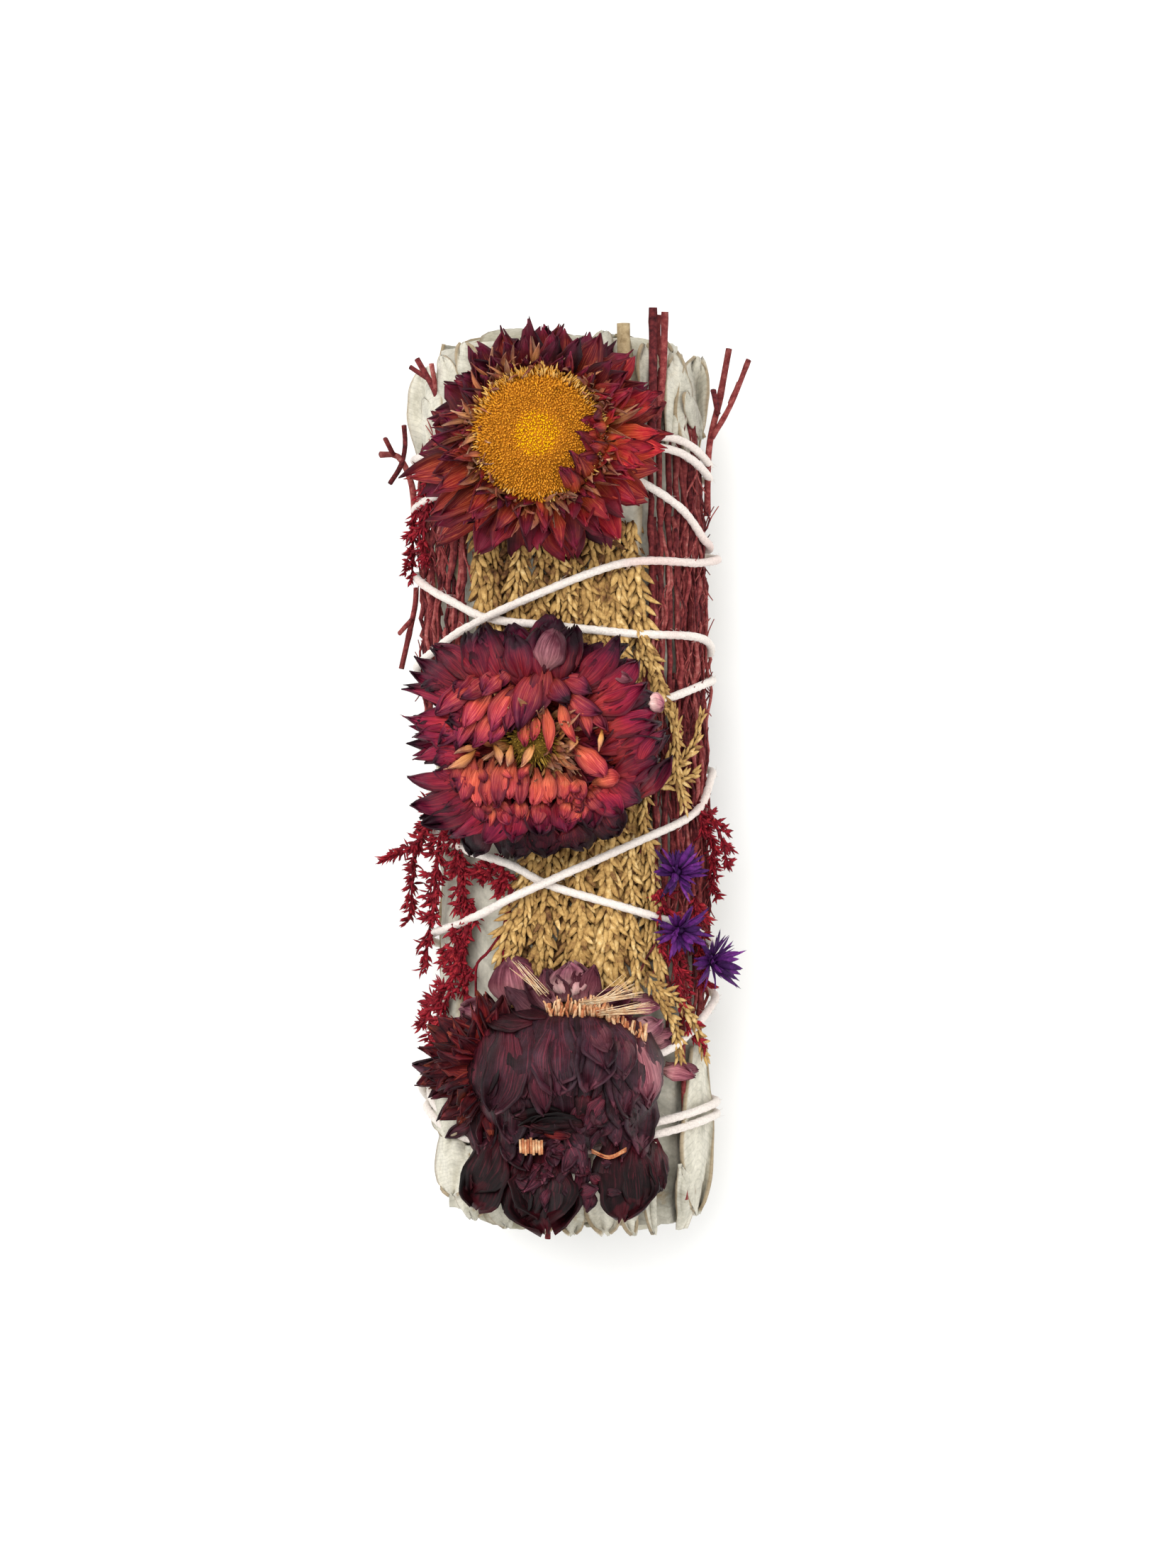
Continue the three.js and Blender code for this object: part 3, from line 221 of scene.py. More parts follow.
# A closed tube along a line: radius(t, turn) in mm, both ends drawn to a point on the line
def addTube(piece, line, radius, sides, tone, floor=-1.0):
    frames = framesAlong(line)
    rows = len(frames) + 1

    def place(u, t):
        row = round(t * rows)
        index = min(max(row - 1, 0), len(frames) - 1)
        point, _, side, up = frames[index]
        if row == 0 or row == rows:
            return point.copy()
        turn = pi * (u + 1)
        size = radius(index / (len(frames) - 1), turn)
        corner = point + side * (cos(turn) * size) + up * (sin(turn) * size)
        corner.z = max(corner.z, floor)
        return corner

    addSheet(piece, sides, rows, place, tone)


# A thin straw bowed from its root to its tip, and thinner towards the tip
def addStraw(piece, root, bow, tip, thick, taper, rows, sides, tone):
    line = smoothLine([root, root.lerp(tip, 0.5) + bow, tip], rows)
    addTube(piece, line, lambda t, turn: thick * (1 - taper * t), sides, tone)


# A plump closed pointed leaf, bud or seed from root along direction; flat is its thickness share, and
# curl and sway bend its tip up and sideways
def addBud(piece, root, direction, above, length, width, flat, tone, sides=6, rows=6, curl=0.0, sway=0.0):
    direction = direction.normalized()
    side = direction.cross(above).normalized()
    top = side.cross(direction).normalized()

    def place(u, t):
        body = sin(pi * t ** 0.8) ** 0.8 if 0 < t < 1 else 0.0
        turn = pi * (u + 1)
        centre = root + direction * (length * t) + (top * curl - side * sway) * (length * t * t)
        aside = side * (0.5 * width * body * cos(turn))
        return centre + aside + top * (0.5 * width * flat * body * sin(turn))

    addSheet(piece, sides, rows, place, tone)


# The half width of a leaf or bract along it: blunt 0 is lance-shaped and 1 broad with a round end
def outlineAt(t, blunt):
    lance = sin(pi * (0.14 + 0.72 * t)) * (1 - t ** 6)
    spoon = (0.5 + 0.5 * smoothstep(t, 0, 0.55)) * sqrt(max(0.0, 1 - max(0.0, (t - 0.6) / 0.41) ** 2))
    return lerp(lance, spoon, blunt)


# A shell is a leaf or bract laid over a form, seen from above: root x, root y, tip x, tip y, half width,
# lift, blunt, tone, hue. Its look says how puffed up, creased and ragged it is
def addShell(piece, shell, heightAt, rng, look, columns=9, rows=12):
    pick = rng.uniform
    rootX, rootY, tipX, tipY, half, lift, blunt, tone, hue = shell
    root = Vector((rootX, rootY, 0))
    way = Vector((tipX, tipY, 0)) - root
    side = Vector((-way.y, way.x, 0)).normalized()
    rough = Vector((pick(0, 99), pick(0, 99), 0))
    bow = pick(-0.12, 0.12) * way.length
    roll = pick(-0.4, 1.1) * look["roll"]

    def place(u, t):
        at = t * (1 - 1.3 * look["ragged"] * abs(noise.noise(rough + Vector((u * 2.4, 5, t)))))
        torn = 1 + 1.2 * look["ragged"] * noise.noise(rough + Vector((u, t * 4, 9)))
        width = half * outlineAt(t, blunt) * torn * lerp(look["neck"], 1, smoothstep(t, 0, 0.45))
        flat = root + way * at + side * (u * width + 4 * bow * at * (1 - at))
        lump = look["crease"] * min(1.0, 0.5 * half) * noise.noise(rough + Vector((u * 1.6, t * 2.8, 0)))
        ridge = 0.16 * look["crease"] * noise.noise(rough + Vector((u * 5, t * 1.5, 4)))
        lump -= look["sunk"] * (1 - smoothstep(t, 0, 0.32))
        puffed = look["puff"] * half * (1 - u * u) * sin(pi * t)
        rolled = roll * max(0.0, (abs(u) - 0.5) / 0.5) ** 2 * smoothstep(t, 0.2, 0.9) * 0.5 * half
        flat.z = heightAt(flat.x, flat.y) + lift * (0.35 + 0.65 * t * t) + lump + ridge + puffed + rolled
        return flat

    addSheet(piece, columns, rows, place, tone, hue)


# Shells, each with a darker one that looks out from under it; its darkness is painted shade from the shell
# over it
def addShells(piece, shells, heightAt, rng, look, columns=9, rows=12):
    pick = rng.uniform
    for rootX, rootY, tipX, tipY, half, lift, blunt, tone, hue in shells:
        tipX += pick(-0.4, 0.4) * look["stray"]
        tipY += pick(-0.4, 0.4) * look["stray"]
        tone = clamp(tone + pick(-0.2, 0.2))
        shell = (rootX, rootY, tipX, tipY, half, lift, blunt, tone, hue)
        addShell(piece, shell, heightAt, rng, look, columns, rows)
        moves = [pick(-look["stray"], look["stray"]) for _ in range(2)]
        reach = pick(0.84, 0.98)
        # the shell underneath gets a lower tone: painted shade under the one above
        under = (rootX + moves[0], rootY + moves[1], lerp(rootX, tipX, reach) + moves[1],
                 lerp(rootY, tipY, reach) + moves[0], half * pick(0.65, 1), lift * 0.3, blunt,
                 tone * pick(0.3, 0.8), hue)
        addShell(piece, under, heightAt, rng, look, 6, 8)


# Torn bracts thrown over an area: [low x, high x, low y, high y], then the ranges of their headings in
# degrees, half widths, lengths, lifts, tones and hues
def scatterShells(piece, count, area, headings, halves, lengths, lifts, tones, hues, heightAt, rng, look):
    pick = rng.uniform
    for _ in range(count):
        x, y = pick(area[0], area[1]), pick(area[2], area[3])
        heading = radians(pick(*headings))
        length = pick(*lengths)
        shell = (x, y, x + length * cos(heading), y + length * sin(heading), pick(*halves),
                 pick(*lifts), rng.random(), pick(*tones), pick(*hues))
        addShell(piece, shell, heightAt, rng, look, 6, 9)


# Materials: addNode makes a node with its settings and links, and each short function under it makes one
# common kind of node and gives back its outgoing socket
def colour(code):
    channels = [int(code[i:i + 2], 16) / 255 for i in (1, 3, 5)]
    return tuple(c / 12.92 if c <= 0.04045 else ((c + 0.055) / 1.055) ** 2.4 for c in channels) + (1.0,)


def addNode(tree, kind, settings=None, inputs=None, stops=()):
    node = tree.nodes.new("ShaderNode" + kind)
    for name, value in (settings or {}).items():
        setattr(node, name, value)
    for key, value in (inputs or {}).items():
        if isinstance(value, bpy.types.NodeSocket):
            tree.links.new(value, node.inputs[key])
        else:
            node.inputs[key].default_value = value
    if stops:
        elements = node.color_ramp.elements
        while len(elements) < len(stops):
            elements.new(0.5)
        for element, (position, code) in zip(elements, stops):
            element.position = position
            element.color = colour(code)
    return node


def objectPlace(tree):
    return addNode(tree, "TexCoord").outputs["Object"]


def layerOf(tree, name):
    return addNode(tree, "Attribute", {"attribute_name": name}).outputs["Fac"]


def noisy(tree, place, scale, detail, roughness=0.5):
    inputs = {"Vector": place, "Scale": scale, "Detail": detail, "Roughness": roughness}
    return addNode(tree, "TexNoise", None, inputs).outputs["Fac"]


def ranged(tree, value, low, high, toLow, toHigh):
    return addNode(tree, "MapRange", None, {0: value, 1: low, 2: high, 3: toLow, 4: toHigh}).outputs[0]


def calculate(tree, operation, *values, **settings):
    return addNode(tree, "Math", dict(settings, operation=operation), dict(enumerate(values))).outputs[0]


def blend(tree, share, a, b, kind="MIX"):
    return addNode(tree, "Mix", {"data_type": "RGBA", "blend_type": kind}, {0: share, 6: a, 7: b}).outputs[2]


def ramp(tree, value, stops):
    return addNode(tree, "ValToRGB", None, {0: value}, stops).outputs["Color"]


def brighten(tree, shade, value):
    return addNode(tree, "HueSaturation", None, {"Color": shade, "Value": value}).outputs[0]


def newMaterial(name, constants):
    material = bpy.data.materials.new(name)
    material.use_nodes = True
    tree = material.node_tree
    for key, value in constants.items():
        tree.nodes["Principled BSDF"].inputs[key].default_value = value
    return material, tree


# Gives a material its colour, if a node makes it, and its fine relief, with depth in metres
def closeMaterial(material, shade, strength, depth, height):
    tree = material.node_tree
    bump = addNode(tree, "Bump", None, {"Strength": strength, "Distance": depth, "Height": height})
    inputs = tree.nodes["Principled BSDF"].inputs
    tree.links.new(bump.outputs[0], inputs["Normal"])
    if shade is not None:
        tree.links.new(shade, inputs["Base Color"])
    return material


# White sage leaf, dried: a felt of fine hairs over a puckered blade, so it looks chalky and soft, with
# no shine; side veins show faintly, and rims and bruises are browned
def makeSageLeaf(name, pale, grey, brown):
    material, tree = newMaterial(name, {"Roughness": 0.95, "Specular IOR Level": 0.12, "Sheen Weight": 0.15})
    place = objectPlace(tree)
    blotch = noisy(tree, place, 150, 6, 0.7)
    body = ramp(tree, blotch, [(0.26, brown), (0.38, grey), (0.56, pale), (0.78, grey)])
    shaded = brighten(tree, body, ranged(tree, layerOf(tree, "tone"), 0, 1, 0.74, 1.06))
    edge = calculate(tree, "ABSOLUTE", layerOf(tree, "across"))
    rim = ranged(tree, edge, 0.84, 1.0, 0, 0.7)
    spots = ranged(tree, noisy(tree, place, 420, 5, 0.75), 0.6, 0.78, 0, 0.55)
    rimmed = blend(tree, calculate(tree, "MAXIMUM", rim, spots), shaded, colour(brown))
    ribs = calculate(tree, "MULTIPLY", layerOf(tree, "along"), 19.0)
    fold = calculate(tree, "PINGPONG", calculate(tree, "MULTIPLY_ADD", edge, -1.7, ribs), 0.5)
    vein = ranged(tree, fold, 0.0, 0.12, 0.84, 1.0)
    mottle = ranged(tree, noisy(tree, place, 1500, 3, 0.55), 0.3, 0.7, 0.84, 1.08)
    marks = calculate(tree, "MULTIPLY", vein, mottle)
    return closeMaterial(material, blend(tree, 1.0, rimmed, marks, "MULTIPLY"), 0.45, 0.00018, marks)


# Everlasting flower bract: a stiff dry scale like thin parchment, with a dull silky shine, fine lighter and
# darker lines along it, partly grain and partly painted light and shade of its folds, streaks of a brighter
# colour that are partly painted highlights, darker rims that are partly painted shade on one side, and a
# colour that runs from its root to its tip. Bloom is how much pale dust lies on it, partly a painted grey
# sheen
def makeBract(name, stops, otherStops, streakHighlight, rimAndShadeColour="#1a0710", bloomAndSheen=0.0):
    material, tree = newMaterial(name, {"Roughness": 0.5, "Specular IOR Level": 0.14})
    place = objectPlace(tree)
    along, across, tone, hue = (layerOf(tree, layer) for layer in ("along", "across", "tone", "hue"))
    shift = ranged(tree, noisy(tree, place, 380, 3, 0.6), 0.25, 0.75, -0.2, 0.2)
    at = calculate(tree, "ADD", along, calculate(tree, "ADD", shift, ranged(tree, tone, 0, 1, 0.16, -0.2)))
    body = blend(tree, hue, ramp(tree, at, stops), ramp(tree, at, otherStops))
    lineAt = addNode(tree, "CombineXYZ", None, {0: calculate(tree, "MULTIPLY", across, 8.0), 1: along,
                                                2: calculate(tree, "MULTIPLY", tone, 60.0)}).outputs[0]
    # fine lines along the bract, lighter and darker: partly grain, partly painted light and shade of its
    # folds
    lines = noisy(tree, lineAt, 1.6, 4, 0.72)
    striped = blend(tree, 0.85, body, ranged(tree, lines, 0.3, 0.7, 0.35, 1.5), "MULTIPLY")
    # bright streaks: partly the bract's own streaks, partly painted highlights along its folds
    bright = ranged(tree, lines, 0.5, 0.72, 0.0, 0.7)
    fades = ranged(tree, at, 0.6, 1.0, 1.0, 0.0)
    highlightStreaked = blend(tree, calculate(tree, "MULTIPLY", bright, fades), striped, colour(streakHighlight))
    # darker rims, more on one side than the other: partly the bract's own dark edge, partly painted shade of
    # its curve and of the bract over it
    uneven = calculate(tree, "PINGPONG", calculate(tree, "MULTIPLY", tone, 9.0), 0.8)
    aside = calculate(tree, "ADD", across, calculate(tree, "SUBTRACT", uneven, 0.4))
    rim = ranged(tree, calculate(tree, "ABSOLUTE", aside), 0.5, 1.3, 0.0, 0.8)
    rimmed = blend(tree, rim, highlightStreaked, colour(rimAndShadeColour))
    last = brighten(tree, rimmed, ranged(tree, tone, 0, 1, 0.35, 1.36))
    # pale grey patches: partly dust on the bracts, partly a painted grey sheen
    if bloomAndSheen:
        dustAndSheen = ranged(tree, noisy(tree, place, 300, 6, 0.75), 0.42, 0.7, 0.0, bloomAndSheen)
        plain = calculate(tree, "SUBTRACT", 1.0, hue, use_clamp=True)
        last = blend(tree, calculate(tree, "MULTIPLY", dustAndSheen, plain), last, colour("#54424f"))
    return closeMaterial(material, last, 0.5, 0.00012, lines)


# Dry plant parts with a colour of their own: a run of tones, a grain along the part and no gloss; each
# part is darker towards its root, painted shade where parts meet and overlap
def makeDry(name, stops, roughness, grain, depth, mottle=0.45):
    material, tree = newMaterial(name, {"Roughness": roughness, "Specular IOR Level": 0.12})
    patch = noisy(tree, objectPlace(tree), grain, 4, 0.7)
    spread = ranged(tree, patch, 0.25, 0.75, -0.25 * mottle, 1.1 * mottle)
    body = ramp(tree, calculate(tree, "MULTIPLY_ADD", layerOf(tree, "tone"), 1 - mottle, spread), stops)
    # darker towards the root of each part: painted shade where it joins and lies under others
    root = ranged(tree, layerOf(tree, "along"), 0.0, 0.45, 0.62, 1.0)
    return closeMaterial(material, blend(tree, 1.0, body, root, "MULTIPLY"), 0.5, depth, patch)


# Cotton string, loosely spun: fibres run along each strand, so it is soft white with faint pink
# stains from the dye of the stems
def makeCotton():
    constants = {"Roughness": 0.95, "Specular IOR Level": 0.1, "Sheen Weight": 0.25}
    material, tree = newMaterial("spunCotton", constants)
    place = objectPlace(tree)
    body = ramp(tree, noisy(tree, place, 55, 2), [(0.38, "#e6ddd4"), (0.56, "#e2d6cd"), (0.7, "#dcbdb6")])
    fibre = noisy(tree, place, 4200, 3, 0.7)
    shaded = blend(tree, 1.0, body, ranged(tree, fibre, 0.3, 0.7, 0.74, 1.04), "MULTIPLY")
    return closeMaterial(material, shaded, 0.5, 0.00006, fibre)


sageLeaf = makeSageLeaf("driedSageLeaf", "#cdc8b8", "#a9a595", "#8a7048")
# the inner leaves take darker colours than the outer ones: painted shade deep in the roll
innerLeafShaded = makeSageLeaf("driedInnerSageLeafShaded", "#b4ae9b", "#8f8974", "#76603c")
sageWood = makeDry("sageWood", [(0.1, "#4e3f2b"), (0.5, "#8a7657"), (0.9, "#b5a27f")], 0.85, 900, 0.0001)
driedCedar = makeDry("driedCedar", [(0, "#2a180e"), (0.25, "#66442a"), (0.5, "#9e7a47"), (0.75, "#c39e62"),
                                    (1, "#e4c892")], 0.75, 1300, 0.00008)
redStem = makeDry("redDyedStem", [(0, "#2c0f13"), (0.3, "#5c2225"), (0.55, "#7e3534"), (0.8, "#9a5550"),
                                  (1, "#b88078")], 0.8, 1500, 0.00012, 0.55)
redFloret = makeDry("redDyedFloret", [(0, "#37080f"), (0.3, "#6e121e"), (0.6, "#96202c"), (0.85, "#b43a36"),
                                      (1, "#c8604a")], 0.75, 1800, 0.00006)
purplePetal = makeDry("purplePetal", [(0, "#1d0c29"), (0.35, "#3e1850"), (0.7, "#612372"), (1, "#88468e")],
                      0.6, 1500, 0.00005)
cotton = makeCotton()
tipBractLook = makeBract(
    "maroonBract",
    [(0, "#7a2c16"), (0.45, "#842618"), (0.66, "#701a20"), (0.85, "#500e20"), (1, "#741838")],
    [(0, "#a85020"), (0.45, "#b04222"), (0.66, "#a81c26"), (0.88, "#8c0e28"), (1, "#a02a3c")], "#d0784a")
shredLook = makeBract(
    "tornBract",
    [(0, "#8c4426"), (0.4, "#9c5236"), (0.7, "#7c3430"), (1, "#a06a58")],
    [(0, "#b87838"), (0.4, "#c48c58"), (0.7, "#b47a5c"), (1, "#d4aa88")], "#d8a468", "#4a1a18")
middleOuterLook = makeBract(
    "wineBract",
    [(0, "#74201e"), (0.4, "#6c1226"), (0.7, "#5a0f28"), (0.92, "#400c22"), (1, "#2c0a1a")],
    [(0, "#8a2a20"), (0.4, "#8e162c"), (0.68, "#801236"), (0.92, "#5c0e30"), (1, "#380a20")], "#b03c34")
middleInnerLook = makeBract(
    "coralBract",
    [(0, "#6e221c"), (0.25, "#a03228"), (0.5, "#a62c3c"), (0.72, "#861c40"), (0.92, "#581236"),
     (1, "#2c0a1a")],
    [(0, "#84402a"), (0.35, "#b04c34"), (0.7, "#a43630"), (0.92, "#821e28"), (1, "#5c141e")],
    "#d87c5a", "#480a1e")
darkLook = makeBract(
    "darkBract",
    [(0, "#341019"), (0.35, "#3c1521"), (0.7, "#34121d"), (0.93, "#481c2a"), (1, "#824452")],
    [(0, "#520e1a"), (0.35, "#3c0c16"), (0.7, "#20080d"), (0.93, "#1e070c"), (1, "#48101a")],
    "#843040", "#0b0505", 0.36)
redSideLook = makeBract(
    "orangeRedBract",
    [(0, "#5c1418"), (0.3, "#641420"), (0.6, "#5c1222"), (0.9, "#3c0c18"), (1, "#5c1c2c")],
    [(0, "#8c2c1c"), (0.4, "#9a281c"), (0.7, "#841c24"), (0.9, "#4c101c"), (1, "#a0442c")], "#c0502c")
mauveLook = makeBract(
    "mauveBract",
    [(0, "#c08c88"), (0.3, "#9a5a60"), (0.6, "#803c4a"), (0.9, "#5c2030"), (1, "#743c48")],
    [(0, "#dcbcb4"), (0.4, "#c89c98"), (0.7, "#a87078"), (0.9, "#84485a"), (1, "#a07478")],
    "#c88c90", "#3c101c", 0.2)
goldDisc = makeDry("goldenFlorets", [(0, "#643e0c"), (0.3, "#c07c1a"), (0.58, "#dc982e"), (0.76, "#e8ae0e"),
                                     (1, "#f6cc14")], 0.85, 2200, 0.00006, 0.2)
paleGold = makeDry("paleGoldFringe", [(0, "#a0681e"), (0.4, "#c8923c"), (1, "#ecce88")], 0.85, 2200, 0.00006)
oliveDisc = makeDry("oliveFlorets", [(0, "#3e3212"), (0.35, "#74581e"), (0.7, "#a08030"), (1, "#d0ac68")],
                    0.85, 2200, 0.00006)
tornTan = makeDry("tornReceptacle", [(0, "#8c3c2c"), (0.35, "#b87850"), (0.7, "#d8b890"), (1, "#f0e4cc")],
                  0.8, 1500, 0.0001)
print("materials made")


# Sage leaves in two rows round the bundle, in the same places as their solids
leaves = {"count": 8, "halfWidth": 6.9, "stemHalfWidth": 0.7, "climb": 0.085, "rowLift": 1, "closer": 1.5,
          "columns": 20, "rows": 50, "wrinkle": 0.6, "thickness": 0.4, "firstAngle": -36}
leafRows = {"base": (-53, 5.5, True), "tip": (-6, 51.5, False)}
leafEndLook = {"crease": 1.5, "ragged": 0.1, "roll": 1.6, "neck": 1, "sunk": 0}
# Leaf ends folded over at both ends: shells, then how far each is puffed up
leafEnds = (
    (15, 37, 15.9, 49.4, 2, 1.2, 1, 0.85, 0, -0.5), (12.4, 38, 12.9, 49.6, 1.6, 1, 0.9, 0.8, 0, 0.4),
    (16.2, 39.6, 14.3, 44.8, 0.9, 2, 0.7, 0.6, 0, 0.9), (9.2, 44, 9.4, 50.2, 1.3, 0.8, 0.8, 0.5, 0, 0.8),
    (11, 45, 11.6, 50.8, 1.1, 0.6, 0.9, 0.6, 0, 0.8), (4.6, 44, 4.8, 51.6, 1.6, 0.6, 0.9, 0.6, 0, 0.8),
    (-16, 36, -16.5, 48.2, 2.2, 1, 0.9, 0.85, 0, 0.6), (-14, 40, -14.4, 49.2, 1.4, 1.2, 0.8, 0.7, 0, 0.9),
    (-14.2, 39, -16.6, 44.4, 0.9, 2, 0.6, 0.7, 0, 0.9), (-11.4, 42, -11.8, 50.4, 1.6, 0.8, 1, 0.7, 0, 0.7),
    (-13.4, -36, -13.8, -42.8, 2.1, 1.8, 1, 0.8, 0, 0.8),
    (-13.6, -41.5, -13.1, -49.6, 2.2, 1.7, 1, 0.85, 0, 0.8),
    (-10.4, -43.5, -10.6, -52.2, 2.1, 1.6, 1, 0.65, 0, 0.7), (-7, -45, -6.6, -53, 1.9, 1.4, 1, 0.55, 0, 0.7),
    (-3, -46, -2.6, -53.8, 1.8, 1.2, 1, 0.6, 0, 0.8), (0.8, -46, 1, -53.9, 1.8, 1.3, 1, 0.7, 0, 0.8),
    (4.6, -44, 4.9, -53.9, 2.3, 1.6, 1, 0.9, 0, 0.5), (8.1, -45, 8.1, -54, 1.1, 1.9, 0.9, 0.75, 0, 0.9),
    (10.4, -43, 10.5, -54, 0.8, 2.2, 0.8, 0.95, 0, 0.9),
    (13.8, -53.6, 13.5, -45.6, 1.2, 1.6, 0.2, 0.85, 0, 0.5),
    (15.9, -32, 15.7, -52.4, 2, 1, 0.8, 0.9, 0, 0.3),
)


def leafHeight(x, y):
    return overFront(x, y, 2.6 - drawnIn(y)).z - 2.2 * smoothstep(abs(y), 50.5, 54.5)


def sageLeaves():
    piece = {}
    nodes = []
    for row, (start, end, lift) in leafRows.items():
        for index in range(leaves["count"]):
            rng = random.Random(100 + index * 7 + (3 if lift else 0))
            pick = rng.uniform
            ends = [start + (pick(-0.4, 1.8) if lift else pick(-1, 1)),
                    end + (pick(-1, 1) if lift else pick(-2.2, 0.4))]
            phase = pick(0, 6)
            seat = Vector((index * 3.7, 11 if lift else 29, 5))

            def place(u, t):
                t = t ** leaves["closer"] if lift else 1 - (1 - t) ** leaves["closer"]
                y = lerp(ends[0], ends[1], t)
                narrow = 1 - t if lift else t
                taper = smoothstep(narrow, 0, 0.42)
                blunt = 1 - 0.55 * smoothstep(1 - narrow, 0.9, 1) ** 2
                broader = leaves["halfWidth"] - leaves["stemHalfWidth"]
                half = (leaves["stemHalfWidth"] + broader * taper) * blunt
                wave = 0.45 * sin(9 * t + phase + 1.5 * u) * taper * smoothstep(abs(u), 0.6, 1)
                lateral = u * half + wave
                turn = degrees(lateral / (bundle["rollHalfWidth"] + 1))
                over = leaves["rowLift"] * smoothstep(y, -13, -7.5) if lift else 0
                shingled = leaves["climb"] * (lateral + leaves["halfWidth"])
                layer = bundle["leafRise"] + shingled + over - drawnIn(y)
                pleat = noise.noise(Vector((u * 2.6, y * 0.06, 0)) + seat)
                pucker = noise.noise(Vector((u * 5.5, y * 0.34, 3)) + seat)
                rib = exp(-((u / 0.07) ** 2)) * 0.35 * (1 - t if lift else t)
                lump = leaves["wrinkle"] * (0.7 * pleat + 0.5 * pucker) + rib
                middle = leaves["firstAngle"] + 360 * index / leaves["count"]
                return bundlePoint(middle + turn, y, layer + 0.3 + lump)

            addSheet(piece, leaves["columns"], leaves["rows"], place, pick(0.2, 0.9))
            nodes.append(f"sage_leaf_{row}_{index + 1}")
    rng = random.Random(12)
    pick = rng.uniform
    for *shell, puff in leafEnds:
        addShell(piece, shell, leafHeight, rng, dict(leafEndLook, puff=puff), 12, 20)
    finishPiece(piece, "sageOuterLeaves", sageLeaf, nodes, leaves["thickness"])


sageLeaves()


# The roll of inner leaves, with folded leaf ends packed round it at both ends
roll = {"base": -49.5, "tip": 48, "rings": 5, "ringGap": 2.5, "perMm": 0.24}


def innerLeaves():
    piece = {}
    rng = random.Random(11)
    pick = rng.uniform

    def core(u, t):
        y = lerp(roll["base"], roll["tip"], t)
        angle = 180 * u
        if t in (0, 1):
            return Vector((middleX(y), y, middleZ))
        y = lerp(roll["base"], roll["tip"], clamp((t - 0.03) / 0.94))
        lump = 0.3 * noise.noise(Vector((sin(radians(angle)) * 3, y * 0.12, cos(radians(angle)) * 3)))
        return bundlePoint(angle, y, -0.35 - drawnIn(y) + lump)

    addSheet(piece, 72, 40, core, 0.3)
    for end, way in ((roll["base"], -1), (roll["tip"], 1)):
        for ring in range(roll["rings"]):
            rise = -1.1 - roll["ringGap"] * ring
            around = 2 * pi * (bundle["rollHalfWidth"] + rise)
            count = max(3, round(around * roll["perMm"] * (1 - 0.05 * ring)))
            for i in range(count):
                angle = 360 * (i + pick(-0.2, 0.2)) / count
                reach = pick(1.6, 4.2) - (0.8 if ring > 2 else 0)
                half = pick(3.2, 4.6) * (1 - 0.08 * ring)
                curl = pick(0.2, 1.5)
                seat = Vector((angle, ring, way))

                def place(u, t):
                    out = -3 + (reach + 3) * sin(min(1.0, t) * pi * 0.5)
                    fold = curl * smoothstep(t, 0.55, 1) ** 1.5 * 2.2
                    wide = half * (1 - 0.6 * smoothstep(t, 0.7, 1)) * u
                    lump = 0.55 * noise.noise(Vector((u * 2, t * 3, 0)) + seat) + 0.5 * (u * u - 0.4)
                    turn = degrees(wide / (bundle["rollHalfWidth"] + rise + 1))
                    y = end + way * out
                    return bundlePoint(angle + turn, y, rise - fold + lump - 1.0 * smoothstep(out, 0, 4))

                addSheet(piece, 8, 10, place, pick(0.1, 0.95))
    finishPiece(piece, "sageInnerLeaves", innerLeafShaded, ["sage_inner_leaves"], 0.45)


innerLeaves()


# Sage stalks: four through the roll, one cut among the leaves at the tips
stalks = {"places": ((0.4, 0.2), (4.4, 1.6), (-3.9, 2.2), (-1.2, -4)), "radius": 1.25, "endRadius": 0.42,
          "from": -51.8, "to": 50.1, "frontAngle": 27, "frontRadius": 0.74}


def sageStalks():
    piece = {}
    for k, (x, z) in enumerate(stalks["places"]):
        points = [Vector((middleX(y) + x + 0.3 * sin(i + x), y, middleZ + z))
                  for i, y in enumerate((stalks["from"], -20, 15, stalks["to"]))]
        line = evenLine(smoothLine(points, 40), 3)
        line = [line[0]] + line + [line[-1]]
        last = len(line) - 1

        def radius(t, turn):
            rough = 0.1 * sin(4 * turn + k) + 0.05 * sin(9 * turn + 7 * t)
            inside = 0.5 < t * last < last - 0.5
            return stalks["radius"] * (1 + 0.7 * rough) if inside else stalks["endRadius"]

        addTube(piece, line, radius, 16, 0.3 + 0.15 * k)
    front = [bundlePoint(stalks["frontAngle"], y, bundle["stemRise"] + 0.2) for y in (40, 46, 52.4)]
    addTube(piece, evenLine(smoothLine(front, 12), 1.2),
            lambda t, turn: stalks["frontRadius"] * (1 + 0.08 * sin(5 * turn)), 14, 0.7)
    finishPiece(piece, "sageStalks", sageWood,
                ["sage_stalk_front"] + [f"sage_stalk_{i + 1}" for i in range(4)])


sageStalks()


